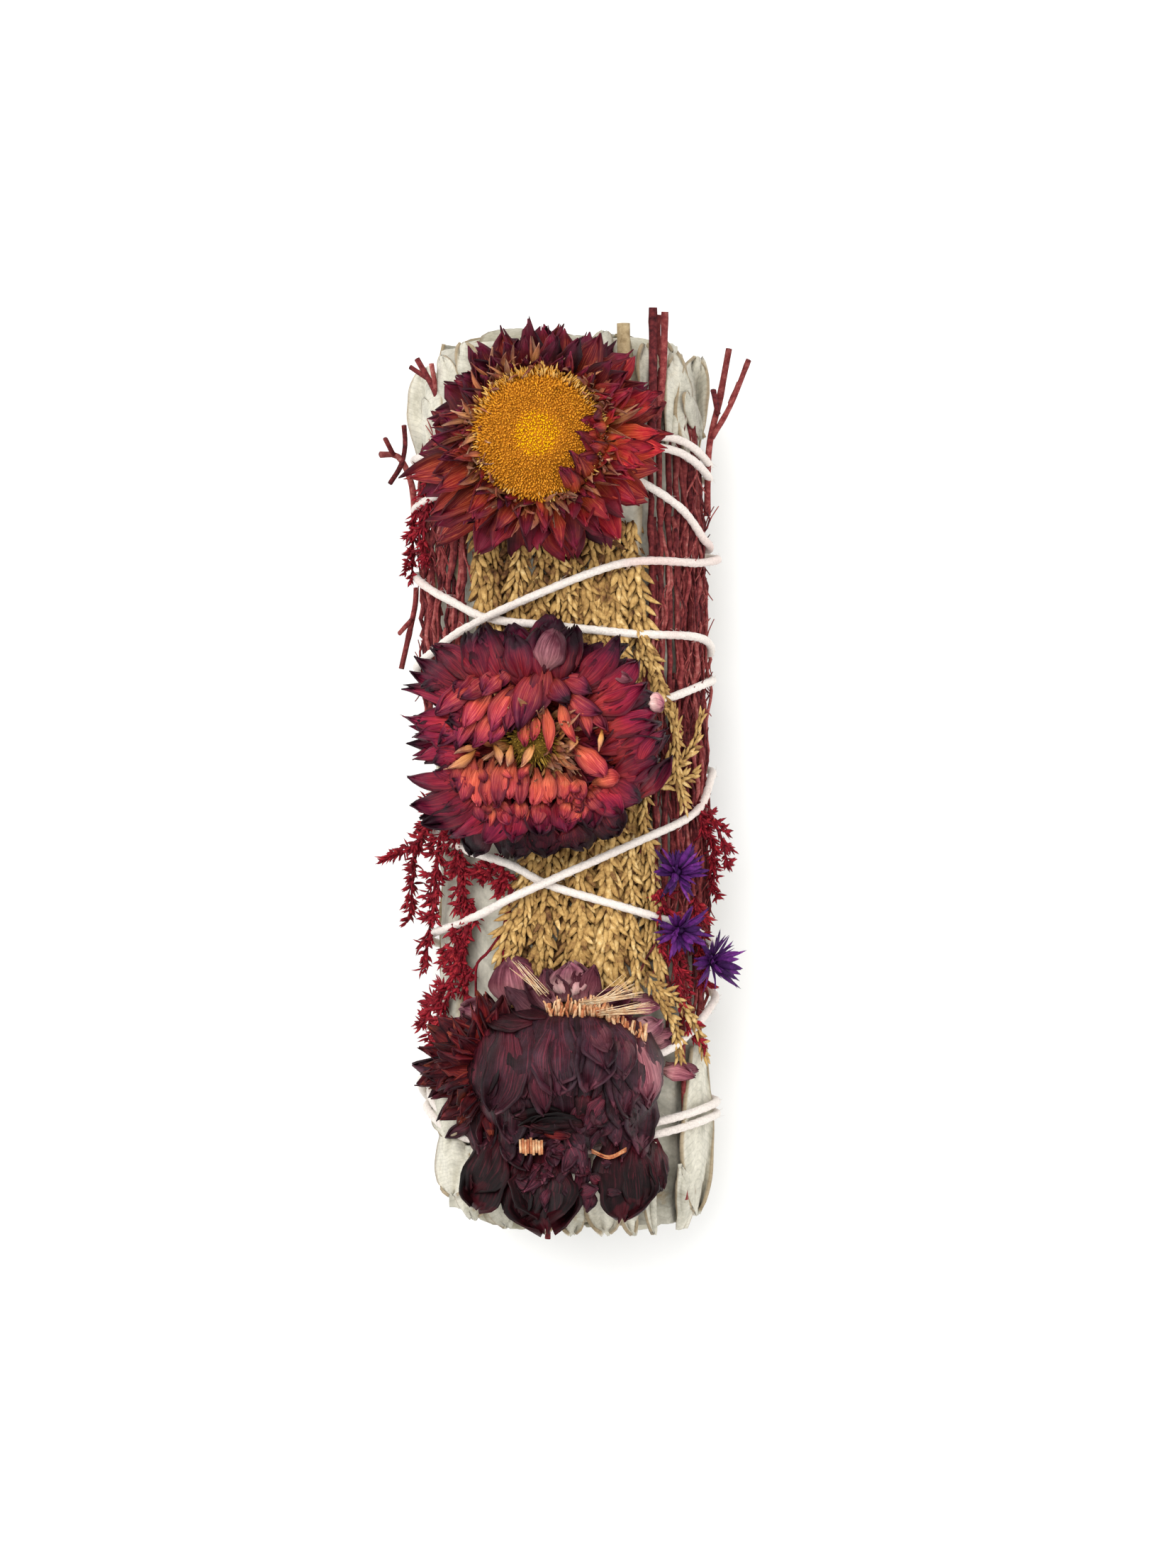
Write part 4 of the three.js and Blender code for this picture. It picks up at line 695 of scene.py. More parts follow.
# The cotton cord: three twisted strands along the same line as its solid, given as
# [degrees turned round the bundle, place along it]
cordRoute = (
    (-12, 38.6), (20, 39), (50, 39.1), (85, 36.6), (180, 36.7), (291, 37.2), (323, 37.9), (360, 38.4),
    (410, 37.6), (445, 35), (540, 35.2), (651, 35.7), (683, 36.5), (720, 36.9), (747, 34.5), (773, 31),
    (796, 27.3), (900, 25.2), (995, 23.2), (1029, 20.4), (1049, 18.1), (1074, 17.2), (1105, 16.3),
    (1157, 15.5), (1220, 9.8), (1260, 8), (1300, 4.6), (1355, -5.5), (1417, -10.5), (1432, -12.8),
    (1451, -14.6), (1476, -16.7), (1515, -19.7), (1620, -28.5), (1715, -38), (1756, -41.4), (1800, -42.6),
    (1841, -40.4), (1878, -39), (1980, -38.2), (2075, -39.4), (2116, -42.8), (2160, -44), (2201, -41.8),
    (2238, -40.4), (2340, -40.1), (2400, -39.7), (2440, -36), (2520, -35), (2559, -32.6), (2599, -27.1),
    (2700, -22.8), (2795, -19.3), (2840, -16.9), (2869, -13.2), (2885, -10.9), (2911, -7.7), (2945, -4),
    (2963, -0.3), (3060, 2.4), (3155, 3.2), (3180, 4.2), (3240, 5.6), (3279, 8.4), (3317, 10.7),
    (3420, 11.8), (3515, 12.6), (3551, 15.5), (3575, 18.6), (3606, 22.7), (3628, 24.6), (3671, 24.8),
    (3780, 28.4), (3880, 31.4), (3925, 34), (3944, 35.4),
)
cord = {"sample": 2, "crossing": 1.16, "flat": 2.9, "slope": 5.4, "step": 0.42, "sides": 18, "strands": 3,
        "pitch": 3.6, "groove": 0.2, "hairs": 2000, "hairRadius": 0.022}


def cordPlace(angle):
    after = next((i for i, (at, y) in enumerate(cordRoute) if at >= angle and i), len(cordRoute) - 1)

    def slopeAt(i):
        low, high = cordRoute[max(0, i - 1)], cordRoute[min(len(cordRoute) - 1, i + 1)]
        return (high[1] - low[1]) / (high[0] - low[0])

    (a, fromY), (b, toY) = cordRoute[after - 1], cordRoute[after]
    t = (angle - a) / (b - a)
    leaving = slopeAt(after - 1) * (b - a) * (t ** 3 - 2 * t ** 2 + t)
    arriving = slopeAt(after) * (b - a) * (t ** 3 - t ** 2)
    return lerp(fromY, toY, t * t * (3 - 2 * t)) + leaving + arriving


def cordLine():
    angles = list(range(cordRoute[0][0], cordRoute[-1][0] + 1, cord["sample"]))
    places = [cordPlace(angle) for angle in angles]
    lifts = [0.0] * len(angles)
    perDegree = radians(1) * cordHalfWidth
    quarter = 90 // cord["sample"]
    crossings = []
    for i, y in enumerate(places):
        for j in range(0, i - quarter):
            if abs(y - places[j]) < cord["crossing"]:
                apart = (angles[i] - angles[j] + 180) % 360 - 180
                distance = hypot(apart * perDegree, y - places[j])
                if distance < cord["crossing"]:
                    crossings.append((i, j, sqrt(cord["crossing"] ** 2 - distance ** 2)))
    window = ceil((cord["flat"] + cord["slope"]) / perDegree / cord["sample"])
    for _ in range(3):
        needs = {}
        for i, j, height in crossings:
            needs[i] = max(needs.get(i, 0), lifts[j] + height)
        for k, need in needs.items():
            for i in range(max(0, k - window), min(len(angles) - 1, k + window) + 1):
                away = abs(k - i) * cord["sample"] * perDegree
                fade = clamp((away - cord["flat"]) / cord["slope"])
                lifts[i] = max(lifts[i], need * 0.5 * (1 + cos(pi * fade)))
    return [bundlePoint(angle, y, lerp(bundle["bareCord"], bundle["coveredCord"], cover(angle, y)) + lift)
            for angle, y, lift in zip(angles, places, lifts)]


def cottonCord():
    rng = random.Random(5)
    pick = rng.uniform
    line = evenLine(cordLine(), cord["step"])
    piece = {}

    def radius(t, turn):
        at = t * (len(line) - 1) * cord["step"]
        lobe = abs(cos(0.5 * cord["strands"] * turn - pi * cord["strands"] * at / cord["pitch"]))
        uneven = 0.1 * noise.noise(Vector((at * 0.5, 0, 0))) + 0.07 * noise.noise(Vector((at * 1.7, turn, 5)))
        return bundle["cordRadius"] * (1.04 + uneven - cord["groove"] * (1 - lobe ** 0.7))

    addTube(piece, line, radius, cord["sides"], 0.5, floor=0.0)
    finishPiece(piece, "cottonCord", cotton, ["cotton_cord"])

    piece = {}
    frames = framesAlong(line)
    for _ in range(cord["hairs"]):
        point, tangent, side, up = frames[rng.randrange(4, len(frames) - 4)]
        turn = pick(0, 2 * pi)
        out = side * cos(turn) + up * sin(turn)
        lean = tangent * pick(-1.2, 1.2) + tangent.cross(out) * pick(-0.7, 0.7)
        start = point + out * (bundle["cordRadius"] * 0.85)
        reach = pick(0.3, 1.15)
        hair = [start, start + (out * 0.6 + lean) * 0.4 * reach,
                start + (out * 0.7 + lean * 1.8) * 0.55 * reach]
        if min(p.z for p in hair) > 0.1:
            addTube(piece, smoothLine(hair, 3), lambda t, turn: cord["hairRadius"] * (1 - 0.6 * t), 3, 0.6)
    finishPiece(piece, "cottonFibres", cotton, ["cotton_cord"])


cottonCord()


# Dried cedar: flat sprays of fine twigs, each a braid of scale leaves: two side scales and a flat one
# between them at every node. A column is [angle at its root, angle at its tip, place of its tip]
cedar = {"node": 1.45, "sideLength": 2.5, "sideWidth": 0.86, "faceLength": 2.1, "faceWidth": 0.78,
         "twigRadius": 0.26, "under": 0.9, "over": 0.5, "points": 24}
cedarColumns = {
    "cedar_spray_upper_left": (29.5, (
        (-35.5, -36, 8.5), (-28.5, -29.5, 9.5), (-22, -22.5, 8), (-15.2, -15.8, 9), (-8.6, -9, 8.2))),
    "cedar_spray_upper_right": (29.5, (
        (-1.8, -2, 9), (5, 4.8, 8.2), (11.7, 11.6, 9.2), (18.3, 18.4, 8), (25, 25.6, 9), (31.2, 33.2, 10))),
    "cedar_spray_lower_left": (-1, (
        (-14.5, -24, -20.5), (-9, -16, -23), (-3.4, -9.2, -26), (2.4, -2.4, -24.5))),
    "cedar_spray_lower_right": (-1, (
        (8, 4.4, -27.2), (14, 11.2, -25.5), (20, 18, -26.8), (26, 25, -25), (32, 32.5, -21.5))),
}
cedarSprigs = {
    "cedar_sprig_side": (((10.4, -1.2, 3.55), (12.2, 1.5, 4), (13.1, 4.4, 4.5), (12.6, 6.9, 4.6)),
                         ((10.8, -0.6, 3.7), (13.6, 1.2, 4.1), (15.2, 3.6, 4.4), (15.9, 6.2, 4.3)),
                         ((10.7, -1.4, 3.8), (13, -0.9, 4.3), (14.8, -0.2, 4.4)),
                         ((8.6, 14.4, 3.7), (9.8, 12, 4), (11.2, 9.6, 4), (12.6, 6.4, 4.1)),
                         ((8, 19, 3.9), (9, 16, 4.1), (10.6, 12.6, 4.2), (11.4, 9, 4.2)),
                         ((12.4, 7, 4.3), (13, 4.2, 4.6), (13, 1, 4.6), (13.9, -3.4, 4.4)),
                         ((8.8, 2.6, 3.4), (9.3, -1.4, 3.5), (9.2, -5, 3.5), (9.6, -8.4, 3.5))),
    "cedar_sprig_low": (((9.6, -23.2, 3.9), (11.2, -26.5, 4.2), (12.9, -29.5, 4.2), (13.4, -32.6, 4)),
                        ((10.1, -24.4, 4), (13, -26.4, 4.4), (15.3, -29.4, 4.3), (16.4, -32.8, 4))),
}


def addCedarTwig(piece, line, rng, tone, size=1.0):
    pick = rng.uniform
    even = evenLine(line, cedar["node"] * size)
    for point, tangent, _, _ in framesAlong(even):
        above = outward(point)
        across = tangent.cross(above).normalized()
        for way in (-1, 1):
            direction = tangent + across * (way * pick(0.08, 0.6)) + above * pick(0.0, 0.3)
            root = point + across * (0.26 * way * size) + tangent * pick(-0.2, 0.2)
            addBud(piece, root, direction, above, cedar["sideLength"] * size * pick(0.8, 1.15),
                   cedar["sideWidth"] * size * pick(0.8, 1.15), 0.55, clamp(tone + pick(-0.4, 0.35)),
                   sides=5, rows=5, curl=pick(-0.02, 0.1), sway=-way * pick(0.02, 0.3))
        root = point + tangent * (0.5 * size + pick(-0.15, 0.15)) + above * (0.26 * size)
        direction = tangent + across * pick(-0.16, 0.16) + above * pick(0, 0.12)
        addBud(piece, root, direction, above, cedar["faceLength"] * size * pick(0.85, 1.1),
               cedar["faceWidth"] * size * pick(0.85, 1.15), 0.5, clamp(tone + pick(-0.15, 0.35)),
               sides=5, rows=5, curl=pick(-0.05, 0.08))
    addTube(piece, even, lambda t, turn: cedar["twigRadius"] * size, 4, 0.1)


def cedarSprays():
    for node, (rootY, columns) in cedarColumns.items():
        piece = {}
        rng = random.Random(len(node) * 7 + round(rootY))
        pick = rng.uniform
        layers = [(column, 0.0, 0.0, 0.35, 0.8) for column in columns]
        # the layer under the others has the lowest tones: painted shade in the gaps between the twigs
        layers += [(column, 3.4, -cedar["under"], 0.0, 0.3) for column in columns]
        layers += [(column, pick(-4, 4), cedar["over"], 0.45, 1.0) for column in columns]
        for (rootAngle, tipAngle, tipY), beside, higher, low, high in layers:
            sway = pick(0, 6)
            start = rootY - (pick(2, 9) if higher > 0 else 0)
            end = tipY + pick(-1.6, 1.2)
            slant = pick(-2, 2) * (6 if higher > 0 else 1)
            line = []
            for k in range(cedar["points"] + 1):
                t = k / cedar["points"]
                wave = 0.3 * sin(5.1 * t + sway) + 0.16 * sin(13 * t + sway)
                turn = beside + slant * t + degrees(wave / (bundle["rollHalfWidth"] + 3))
                rise = bundle["stemRise"] - 0.1 + higher + 0.2 * sin(4 * t + rootAngle)
                angle = lerp(rootAngle, tipAngle, t ** 1.5) + turn
                line.append(bundlePoint(angle, lerp(start, end, t), rise))
            addCedarTwig(piece, line, rng, pick(low, high), pick(0.75, 1.08))
        finishPiece(piece, "cedar" + node.removeprefix("cedar_spray_").title().replace("_", ""), driedCedar,
                    [node])
    piece = {}
    rng = random.Random(9)
    pick = rng.uniform
    for branches in cedarSprigs.values():
        for points in branches:
            addCedarTwig(piece, smoothLine([overFront(*p) for p in points], cedar["points"]), rng, 0.75, 0.68)
    finishPiece(piece, "cedarSprigs", driedCedar, list(cedarSprigs))


cedarSprays()


# Red-dyed filler stems: straight main stems in two bunches, finer ones laid between them
stems = {
    "sides": 6, "step": 1.2,
    "right": {"node": "red_stems_right", "radius": 0.38, "slant": 0, "fine": 96, "fineFrom": (37, 96),
              "fineY": (-32, 42), "angles": (40, 45, 50, 55.5, 61, 66.5, 72, 78, 84),
              "ends": ((47, -20), (53.6, -13), (41, -17), (39.5, -50), (43, -14), (38.5, -25), (41.5, -33),
                       (38, -12), (36.5, -16))},
    "left": {"node": "red_stems_left", "radius": 0.36, "slant": 0.28, "fine": 48, "fineFrom": (-98, -44),
             "fineY": (5, 40), "angles": (-88, -80, -71, -63, -54, -46),
             "ends": ((38, 6), (36, 8.5), (37.5, 6.5), (34, 9), (36, 7), (31, 7.5))},
}


def addStem(piece, line, thick, rng, tone, sway=0.3):
    seat = Vector((rng.uniform(0, 99), 0, 0))
    even = evenLine(line, stems["step"])
    bent = [p + Vector((noise.noise(seat + Vector((0, p.y * 0.25, 0))) * sway, 0,
                        noise.noise(seat + Vector((7, p.y * 0.25, 0))) * 0.15)) for p in even]

    def radius(t, turn):
        knot = 0.4 * max(0.0, sin(len(even) * 0.55 * t + seat.x)) ** 12
        rough = 0.22 * noise.noise(seat + Vector((t * len(even) * 0.9, turn, 3)))
        return thick * (1 - 0.25 * t + knot + rough + 0.1 * sin(3 * turn + seat.x))

    addTube(piece, bent, radius, stems["sides"], tone)
    return bent


def redStems(side):
    spec = stems[side]
    piece = {}
    rng = random.Random(21 if side == "right" else 22)
    pick = rng.uniform
    for angle, (top, low) in zip(spec["angles"], spec["ends"]):
        line = [bundlePoint(angle + spec["slant"] * (y - 22), y, bundle["stemRise"] + 0.05)
                for y in (lerp(top, low, k / 16) for k in range(17))]
        addStem(piece, line, spec["radius"], rng, pick(0.2, 0.8))
    for _ in range(spec["fine"]):
        angle = pick(*spec["fineFrom"])
        low, high = sorted((pick(*spec["fineY"]), pick(*spec["fineY"])))
        high = max(high, min(low + 9, spec["fineY"][1]))
        drift = pick(-5, 5) * rng.choice((0.5, 1, 2, 3.6))
        line = [bundlePoint(angle + drift * t + spec["slant"] * (lerp(high, low, t) - 22), lerp(high, low, t),
                            bundle["stemRise"] - 0.1 + 1.1 * rng.random() * (1 - (2 * t - 1) ** 2))
                for t in (k / 10 for k in range(11))]
        bent = addStem(piece, line, pick(0.12, 0.3), rng, rng.choice((0, 0.15, rng.random(), 0.6, 1)), 0.75)
        for _ in range(4):
            root = bent[rng.randrange(1, len(bent) - 1)]
            above = outward(root)
            way = Vector((pick(-0.5, 0.5), rng.choice((-1, 1, 1)), 0)) + above * pick(0.0, 0.14)
            length = pick(1.0, 3.0)
            tip = root + way.normalized() * length
            addStraw(piece, root, above * -0.15, tip, 0.13, 0.4, 4, 4, rng.random())
    finishPiece(piece, "redStems" + side.title(), redStem, [spec["node"]])


redStems("right")
redStems("left")


# Loose twigs of the same filler that stand out at the tips, the sides and the base
looseTwigs = {
    "red_twigs_tip": (0.55, (
        ((10.3, 54.25, 26.6), (10.3, 47, 26.3), (10.2, 39.5, 26.2)),
        ((11.7, 53.8, 26), (11.5, 47, 25.6), (10.9, 41.5, 25.8)),
        ((10, 40.5, 26.3), (11, 42.2, 25.9), (11.6, 43.4, 25.6)))),
    "red_twigs_right": (0.42, (
        ((19.4, 50, 19), (18.3, 44, 17.6), (17.1, 38.4, 16.4), (16.9, 30.5, 15)),
        ((21.6, 48.5, 21.6), (19.6, 43.5, 19.2), (17.4, 39.6, 16.8)), ((17.5, 45, 20), (18.1, 42.4, 17.6)),
        ((20.6, 46, 18.6), (19.5, 43.5, 19.1)))),
    "red_twigs_left": (0.4, (
        ((-21.7, 37.6, 18), (-19.6, 37.4, 16.6), (-18.1, 34.2, 15.2), (-17.8, 30, 14.6)),
        ((-20.5, 34.2, 18.6), (-19.3, 36.4, 16.5), (-18.8, 38.7, 17), (-18.9, 41, 18)),
        ((-21.1, 39.4, 19), (-20.2, 37.6, 17.1)))),
    "red_twigs_tip_left": (0.38, (
        ((-13.7, 40.5, 21.4), (-15, 44.5, 21.2), (-17.3, 48.7, 20.8)),
        ((-15, 44.6, 21.1), (-15.6, 48, 22.2)), ((-16.1, 46.4, 20.9), (-18.1, 47.8, 19.6)))),
    "red_twigs_left_low": (0.36, (
        ((-19.3, 12.4, 15.4), (-18.3, 17, 14.6), (-17.7, 20, 14), (-17.6, 22, 13.6)),
        ((-18.1, 18.2, 14.5), (-19.5, 16.5, 16.4)))),
    "red_tips_base": (0.34, (
        ((-1.4, -46.5, 28), (-1.7, -51, 27.3), (-1.9, -54.18, 26.4)),
        ((-1.6, -50, 27.5), (-2.9, -52.4, 26.9)), ((-1.6, -50.6, 27.4), (-0.6, -53.2, 26.6)))),
}


def redTwigs():
    piece = {}
    rng = random.Random(31)
    for thick, branches in looseTwigs.values():
        for k, points in enumerate(branches):
            line = evenLine(smoothLine([Vector(p) for p in points], 20), 0.8)
            seat = rng.uniform(0, 50)
            addTube(piece, line, lambda t, turn: thick * (0.75 if k else 0.9) * (
                1 + 0.12 * sin(3 * turn + seat) + 0.15 * max(0, sin(9 * t + seat)) ** 8), 8, rng.random())
    finishPiece(piece, "redLooseTwigs", redStem, list(looseTwigs))


redTwigs()


# Red florets: tufts of tiny pointed buds on fine branchlets. A branch is its points [x, y, rise], how
# many branchlets it has, how far they reach, and their side: -1 left, 1 right, 0 both
floretSprays = {
    "red_florets_left_upper": (
        (((-15.9, 35.4, 3.7), (-17.3, 31.5, 3.9), (-17.9, 28, 4.2), (-18, 23.6, 4.4)), 20, 2.2, -1),
        (((-15.4, 33.5, 3.6), (-16.5, 29, 3.9), (-16.2, 24.4, 3.9)), 12, 1.6, 0)),
    "red_florets_left_middle": (
        (((-13.6, -2.6, 3.2), (-16.2, -6, 3.9), (-18, -11, 4.6), (-18.6, -17, 5)), 30, 2.1, 0),
        (((-13.4, -3.4, 3.2), (-14.8, -9, 3.4), (-15.4, -15, 3.3), (-16.4, -22, 3.5)), 42, 2.6, 0),
        (((-12.6, -3.8, 3.2), (-12.7, -9, 3.2), (-12, -13.4, 3), (-10.6, -17.2, 3)), 36, 2.3, 0),
        (((-16.6, -7.4, 4.4), (-18.6, -9, 5.6), (-20.4, -9.8, 7.4)), 9, 1.2, 0)),
    "red_florets_left_lower": (
        (((-13, -17.6, 3.2), (-12.7, -21, 3), (-13.6, -26, 2.9), (-15.8, -30, 3.1)), 24, 2.1, 0),
        (((-12.2, -18.2, 3), (-11.8, -22, 2.9), (-11.7, -26, 2.9)), 16, 1.8, 0),
        (((-13.8, -25, 3), (-15.8, -28, 3.1), (-17.2, -29.6, 3.9)), 14, 1.5, 0),
        (((-14, -28, 3), (-14.6, -31.4, 3.1)), 9, 1.4, 0),
        (((-7, -9.6, 3.2), (-8.6, -11, 3.2), (-9.8, -12, 3.2)), 9, 1.3, 0),
        (((-7.2, -10.4, 3.3), (-7.2, -13.4, 3.3)), 7, 1.1, 0)),
    "red_florets_right_middle": (
        (((15.8, -3.4, 3.8), (17, -6.5, 4.1), (17.6, -9.6, 4.4), (17.6, -14, 4.2)), 20, 2.4, 1),
        (((17, -4.4, 4.8), (18.4, -7.4, 5.6), (19.2, -10.6, 6)), 9, 1.5, 0)),
    "red_florets_right_lower": (
        (((11.3, -13.4, 4), (12.2, -19, 3.9), (13.4, -24.5, 4), (15.4, -31.6, 4)), 26, 2.4, 0),
        (((15.4, -14.4, 3.8), (15.8, -19, 4), (16.4, -25, 4.2)), 16, 1.8, 0)),
}
thickStems = (
    (0.42, ((-6.1, -13.2, 3.2), (-6.8, -18.6, 3.1), (-7.2, -24.6, 3.1))),
    (0.2, ((-6.9, -18, 3.4), (-8.8, -20.8, 3.6), (-10.2, -22.4, 3.7), (-10.3, -26, 3.5))),
    (0.16, ((-10.2, -22.4, 3.7), (-11.4, -24.2, 3.6), (-12.2, -26.4, 3.5))),
    (0.3, ((-11.2, -17.8, 3.2), (-12, -20.6, 3.3), (-12.2, -23.4, 3.2))),
)


def addFloretTuft(piece, root, direction, above, rng, size=1.0):
    pick = rng.uniform
    tuft = pick(0, 0.62)
    for _ in range(rng.randint(2, 4)):
        way = direction + Vector((pick(-0.8, 0.8), pick(-0.8, 0.8), pick(-0.4, 0.7)))
        addBud(piece, root, way, above, pick(0.7, 1.6) * size, pick(0.28, 0.55) * size, 0.7,
               tuft + pick(0, 0.25), sides=4, rows=3, curl=pick(-0.3, 0.4), sway=pick(-0.3, 0.3))


def addFloretBranch(piece, points, count, reach, side, rng):
    pick = rng.uniform
    line = smoothLine([overFront(*p) for p in points], 40)
    addTube(piece, evenLine(line, 0.8), lambda t, turn: 0.24 * (1 - 0.5 * t), 6, 0.15)
    for i in range(count):
        at = min(39, int(40 * (i + rng.random()) / count))
        root = line[at]
        tangent = (line[at + 1] - root).normalized()
        above = outward(root)
        across = above.cross(tangent)
        way = -side if side and rng.random() < 0.8 else rng.choice((-1, 1))
        direction = (tangent * pick(0.3, 1.1) + across * way * pick(0.3, 1)
                     + above * pick(-0.1, 0.4)).normalized()
        tip = root + direction * (reach * pick(0.35, 1))
        addStraw(piece, root, above * 0.1, tip, 0.1, 0, 3, 3, 0.15)
        for share in (0.4, 0.7, 1.0):
            addFloretTuft(piece, root.lerp(tip, share), direction, above, rng)
        addFloretTuft(piece, root, tangent, above, rng)


def redFlorets():
    piece = {}
    for seed, branches in enumerate(floretSprays.values()):
        rng = random.Random(40 + seed)
        for points, count, reach, side in branches:
            addFloretBranch(piece, points, count, reach, side, rng)
    for thick, points in thickStems:
        line = evenLine(smoothLine([overFront(*p) for p in points], 30), 0.8)
        addTube(piece, line, lambda t, turn: thick * (1 - 0.3 * t + 0.12 * sin(3 * turn + 9 * t)), 8, 0.12)
    finishPiece(piece, "redFlorets", redFloret, list(floretSprays))


redFlorets()


# Purple blossoms: shaggy stars of narrow pointed petals
blossoms = {
    "purple_blossom_upper": ((13.1, -11.6, 4.9), (-25, 30, 0), 3.2),
    "purple_blossom_middle": ((13.4, -18.2, 5.4), (20, 25, 0), 3.4),
    "purple_blossom_lower": ((17.1, -22, 5.4), (15, 55, 0), 4.0),
}
blossomPetals = 44


def seatOf(place, lean):
    turn = Matrix.Identity(4)
    for axis, amount in zip("XYZ", lean):
        turn = turn @ Matrix.Rotation(radians(amount), 4, axis)
    return Matrix.Translation(overFront(*place)) @ turn


def purpleBlossoms():
    piece = {}
    rng = random.Random(51)
    pick = rng.uniform
    for place, lean, radius in blossoms.values():
        seat = seatOf(place, lean)
        turned = seat.to_3x3()
        for i in range(blossomPetals):
            azimuth = 2 * pi * i / blossomPetals + pick(-0.4, 0.4)
            pitch = pick(-0.15, 1.2)
            way = Vector((cos(azimuth) * cos(pitch), sin(azimuth) * cos(pitch), sin(pitch)))
            root = seat @ Vector((0.35 * cos(azimuth), 0.35 * sin(azimuth), pick(0, 0.5)))
            addBud(piece, root, turned @ way, turned @ Vector((0, 0, 1)), radius * pick(0.6, 1.18),
                   pick(0.5, 0.95), 0.35, rng.random(), sides=6, rows=7, curl=pick(-0.35, 0.25))
        axis = turned @ Vector((0, 0, 1))
        below = seat @ Vector((0, 0, -1.1))
        addBud(piece, below, axis, turned @ Vector((1, 0, 0)), 1.9, 1.5, 1, 0.1, sides=8)
    finishPiece(piece, "purpleBlossoms", purplePetal, list(blossoms))


purpleBlossoms()


# Everlasting flowers. A bract's spec: start and height of its root from the flower's axis, pitch and
# curl in degrees, length and width; ragged is how torn its end is, and wild how far it strays
def addBract(piece, seat, azimuth, spec, rng, tone, hue=0.0, columns=6, rows=10):
    pick = rng.uniform
    wild = spec.get("wild", 1.0)
    turn = radians(azimuth)
    pitch = radians(spec["pitch"] + wild * pick(-9, 9))
    bend = radians(spec["curl"] + wild * pick(-14, 14)) or 0.01
    length = spec["length"] * pick(0.86, 1.06)
    half = 0.5 * spec["width"] * pick(0.8, 1.15)
    height = spec["height"] + pick(-0.2, 0.2)
    cup = spec.get("cup", 0.3) * pick(0.2, 1.7)
    blunt = clamp(spec.get("blunt", 0.25) + pick(-0.15, 0.15))
    ragged = spec.get("ragged", 0.5)
    roll = pick(-0.45, 0.8)
    twist = radians(wild * pick(-26, 26))
    swerve = wild * pick(-0.8, 0.8)
    rough = Vector((pick(0, 99), pick(0, 99), 0))

    def place(u, t):
        at = t * (1 + 0.16 * ragged * noise.noise(rough + Vector((u * 2.6, 5, t))))
        slope = pitch + bend * at
        reach = spec["start"] + length * (sin(slope) - sin(pitch)) / bend
        rise = height + length * (cos(pitch) - cos(slope)) / bend
        torn = 1 + 0.3 * ragged * noise.noise(rough + Vector((u * 0.5, t * 8, 9)))
        width = half * outlineAt(t, blunt) * torn
        crease = 0.2 * noise.noise(rough + Vector((u * 2.4, t * 3.2, 0))) + 0.12 * (1 - abs(u)) ** 4
        rolled = roll * max(0.0, (abs(u) - 0.5) / 0.5) ** 2 * smoothstep(t, 0.2, 0.9)
        across = u * width + swerve * t * t
        lift = (cup * u * u + rolled) * width + crease
        angle = twist * t
        side = across * cos(angle) - lift * sin(angle)
        lift = lift * cos(angle) + across * sin(angle)
        out = reach - lift * sin(slope)
        up = rise + lift * cos(slope)
        around = out * cos(turn) - side * sin(turn), out * sin(turn) + side * cos(turn)
        return seat @ Vector((*around, up))

    addSheet(piece, columns, rows, place, tone, hue)


# A form turned about the seat's axis, from its profile of radii and heights
def addTurned(piece, seat, profile, segments, tone, rows=20):
    line = smoothLine([Vector((r, 0, z)) for r, z in profile], rows)

    def place(u, t):
        at = line[round(t * rows)]
        turn = pi * u
        return seat @ Vector((at.x * cos(turn), at.x * sin(turn), at.z))

    addSheet(piece, segments, rows, place, tone)


# 1 where the azimuth is at the middle, falling to 0 at the spread
def facing(azimuth, middle, spread):
    return clamp(1 - abs((azimuth - middle + 180) % 360 - 180) / spread)


goldenAngle = radians(137.508)


# Florets packed in a spiral on a disc whose height falls from its middle to its rim
def addFlorets(piece, seat, count, radius, heightAt, rng, toneAt, length, width, tilt):
    pick = rng.uniform
    turned = seat.to_3x3()
    for i in range(count):
        out = radius * sqrt((i + 0.5) / count)
        azimuth = i * goldenAngle
        lean = (out / radius) ** 2 * tilt
        way = Vector((cos(azimuth) * sin(lean), sin(azimuth) * sin(lean), cos(lean)))
        way += Vector((pick(-0.35, 0.35), pick(-0.35, 0.35), 0))
        root = seat @ Vector((out * cos(azimuth), out * sin(azimuth), heightAt(out) - 0.35))
        addBud(piece, root, turned @ way, turned @ Vector((1, 0.1, 0)), pick(*length), pick(*width), 1.0,
               clamp(toneAt(out)), sides=4, rows=3)


# Named values from rows of numbers
def rowsOf(names, *rows):
    return [dict(zip(names.split(), row)) for row in rows]


petalLook = {"puff": 0.05, "crease": 1.05, "ragged": 0.2, "roll": 1.0, "stray": 0.9, "neck": 0.5, "sunk": 1.2}
tornLook = dict(petalLook, ragged=0.3, neck=0.7, sunk=0.6)
domeLook = dict(petalLook, crease=0.7, sunk=0.5, neck=0.8, roll=1.8)


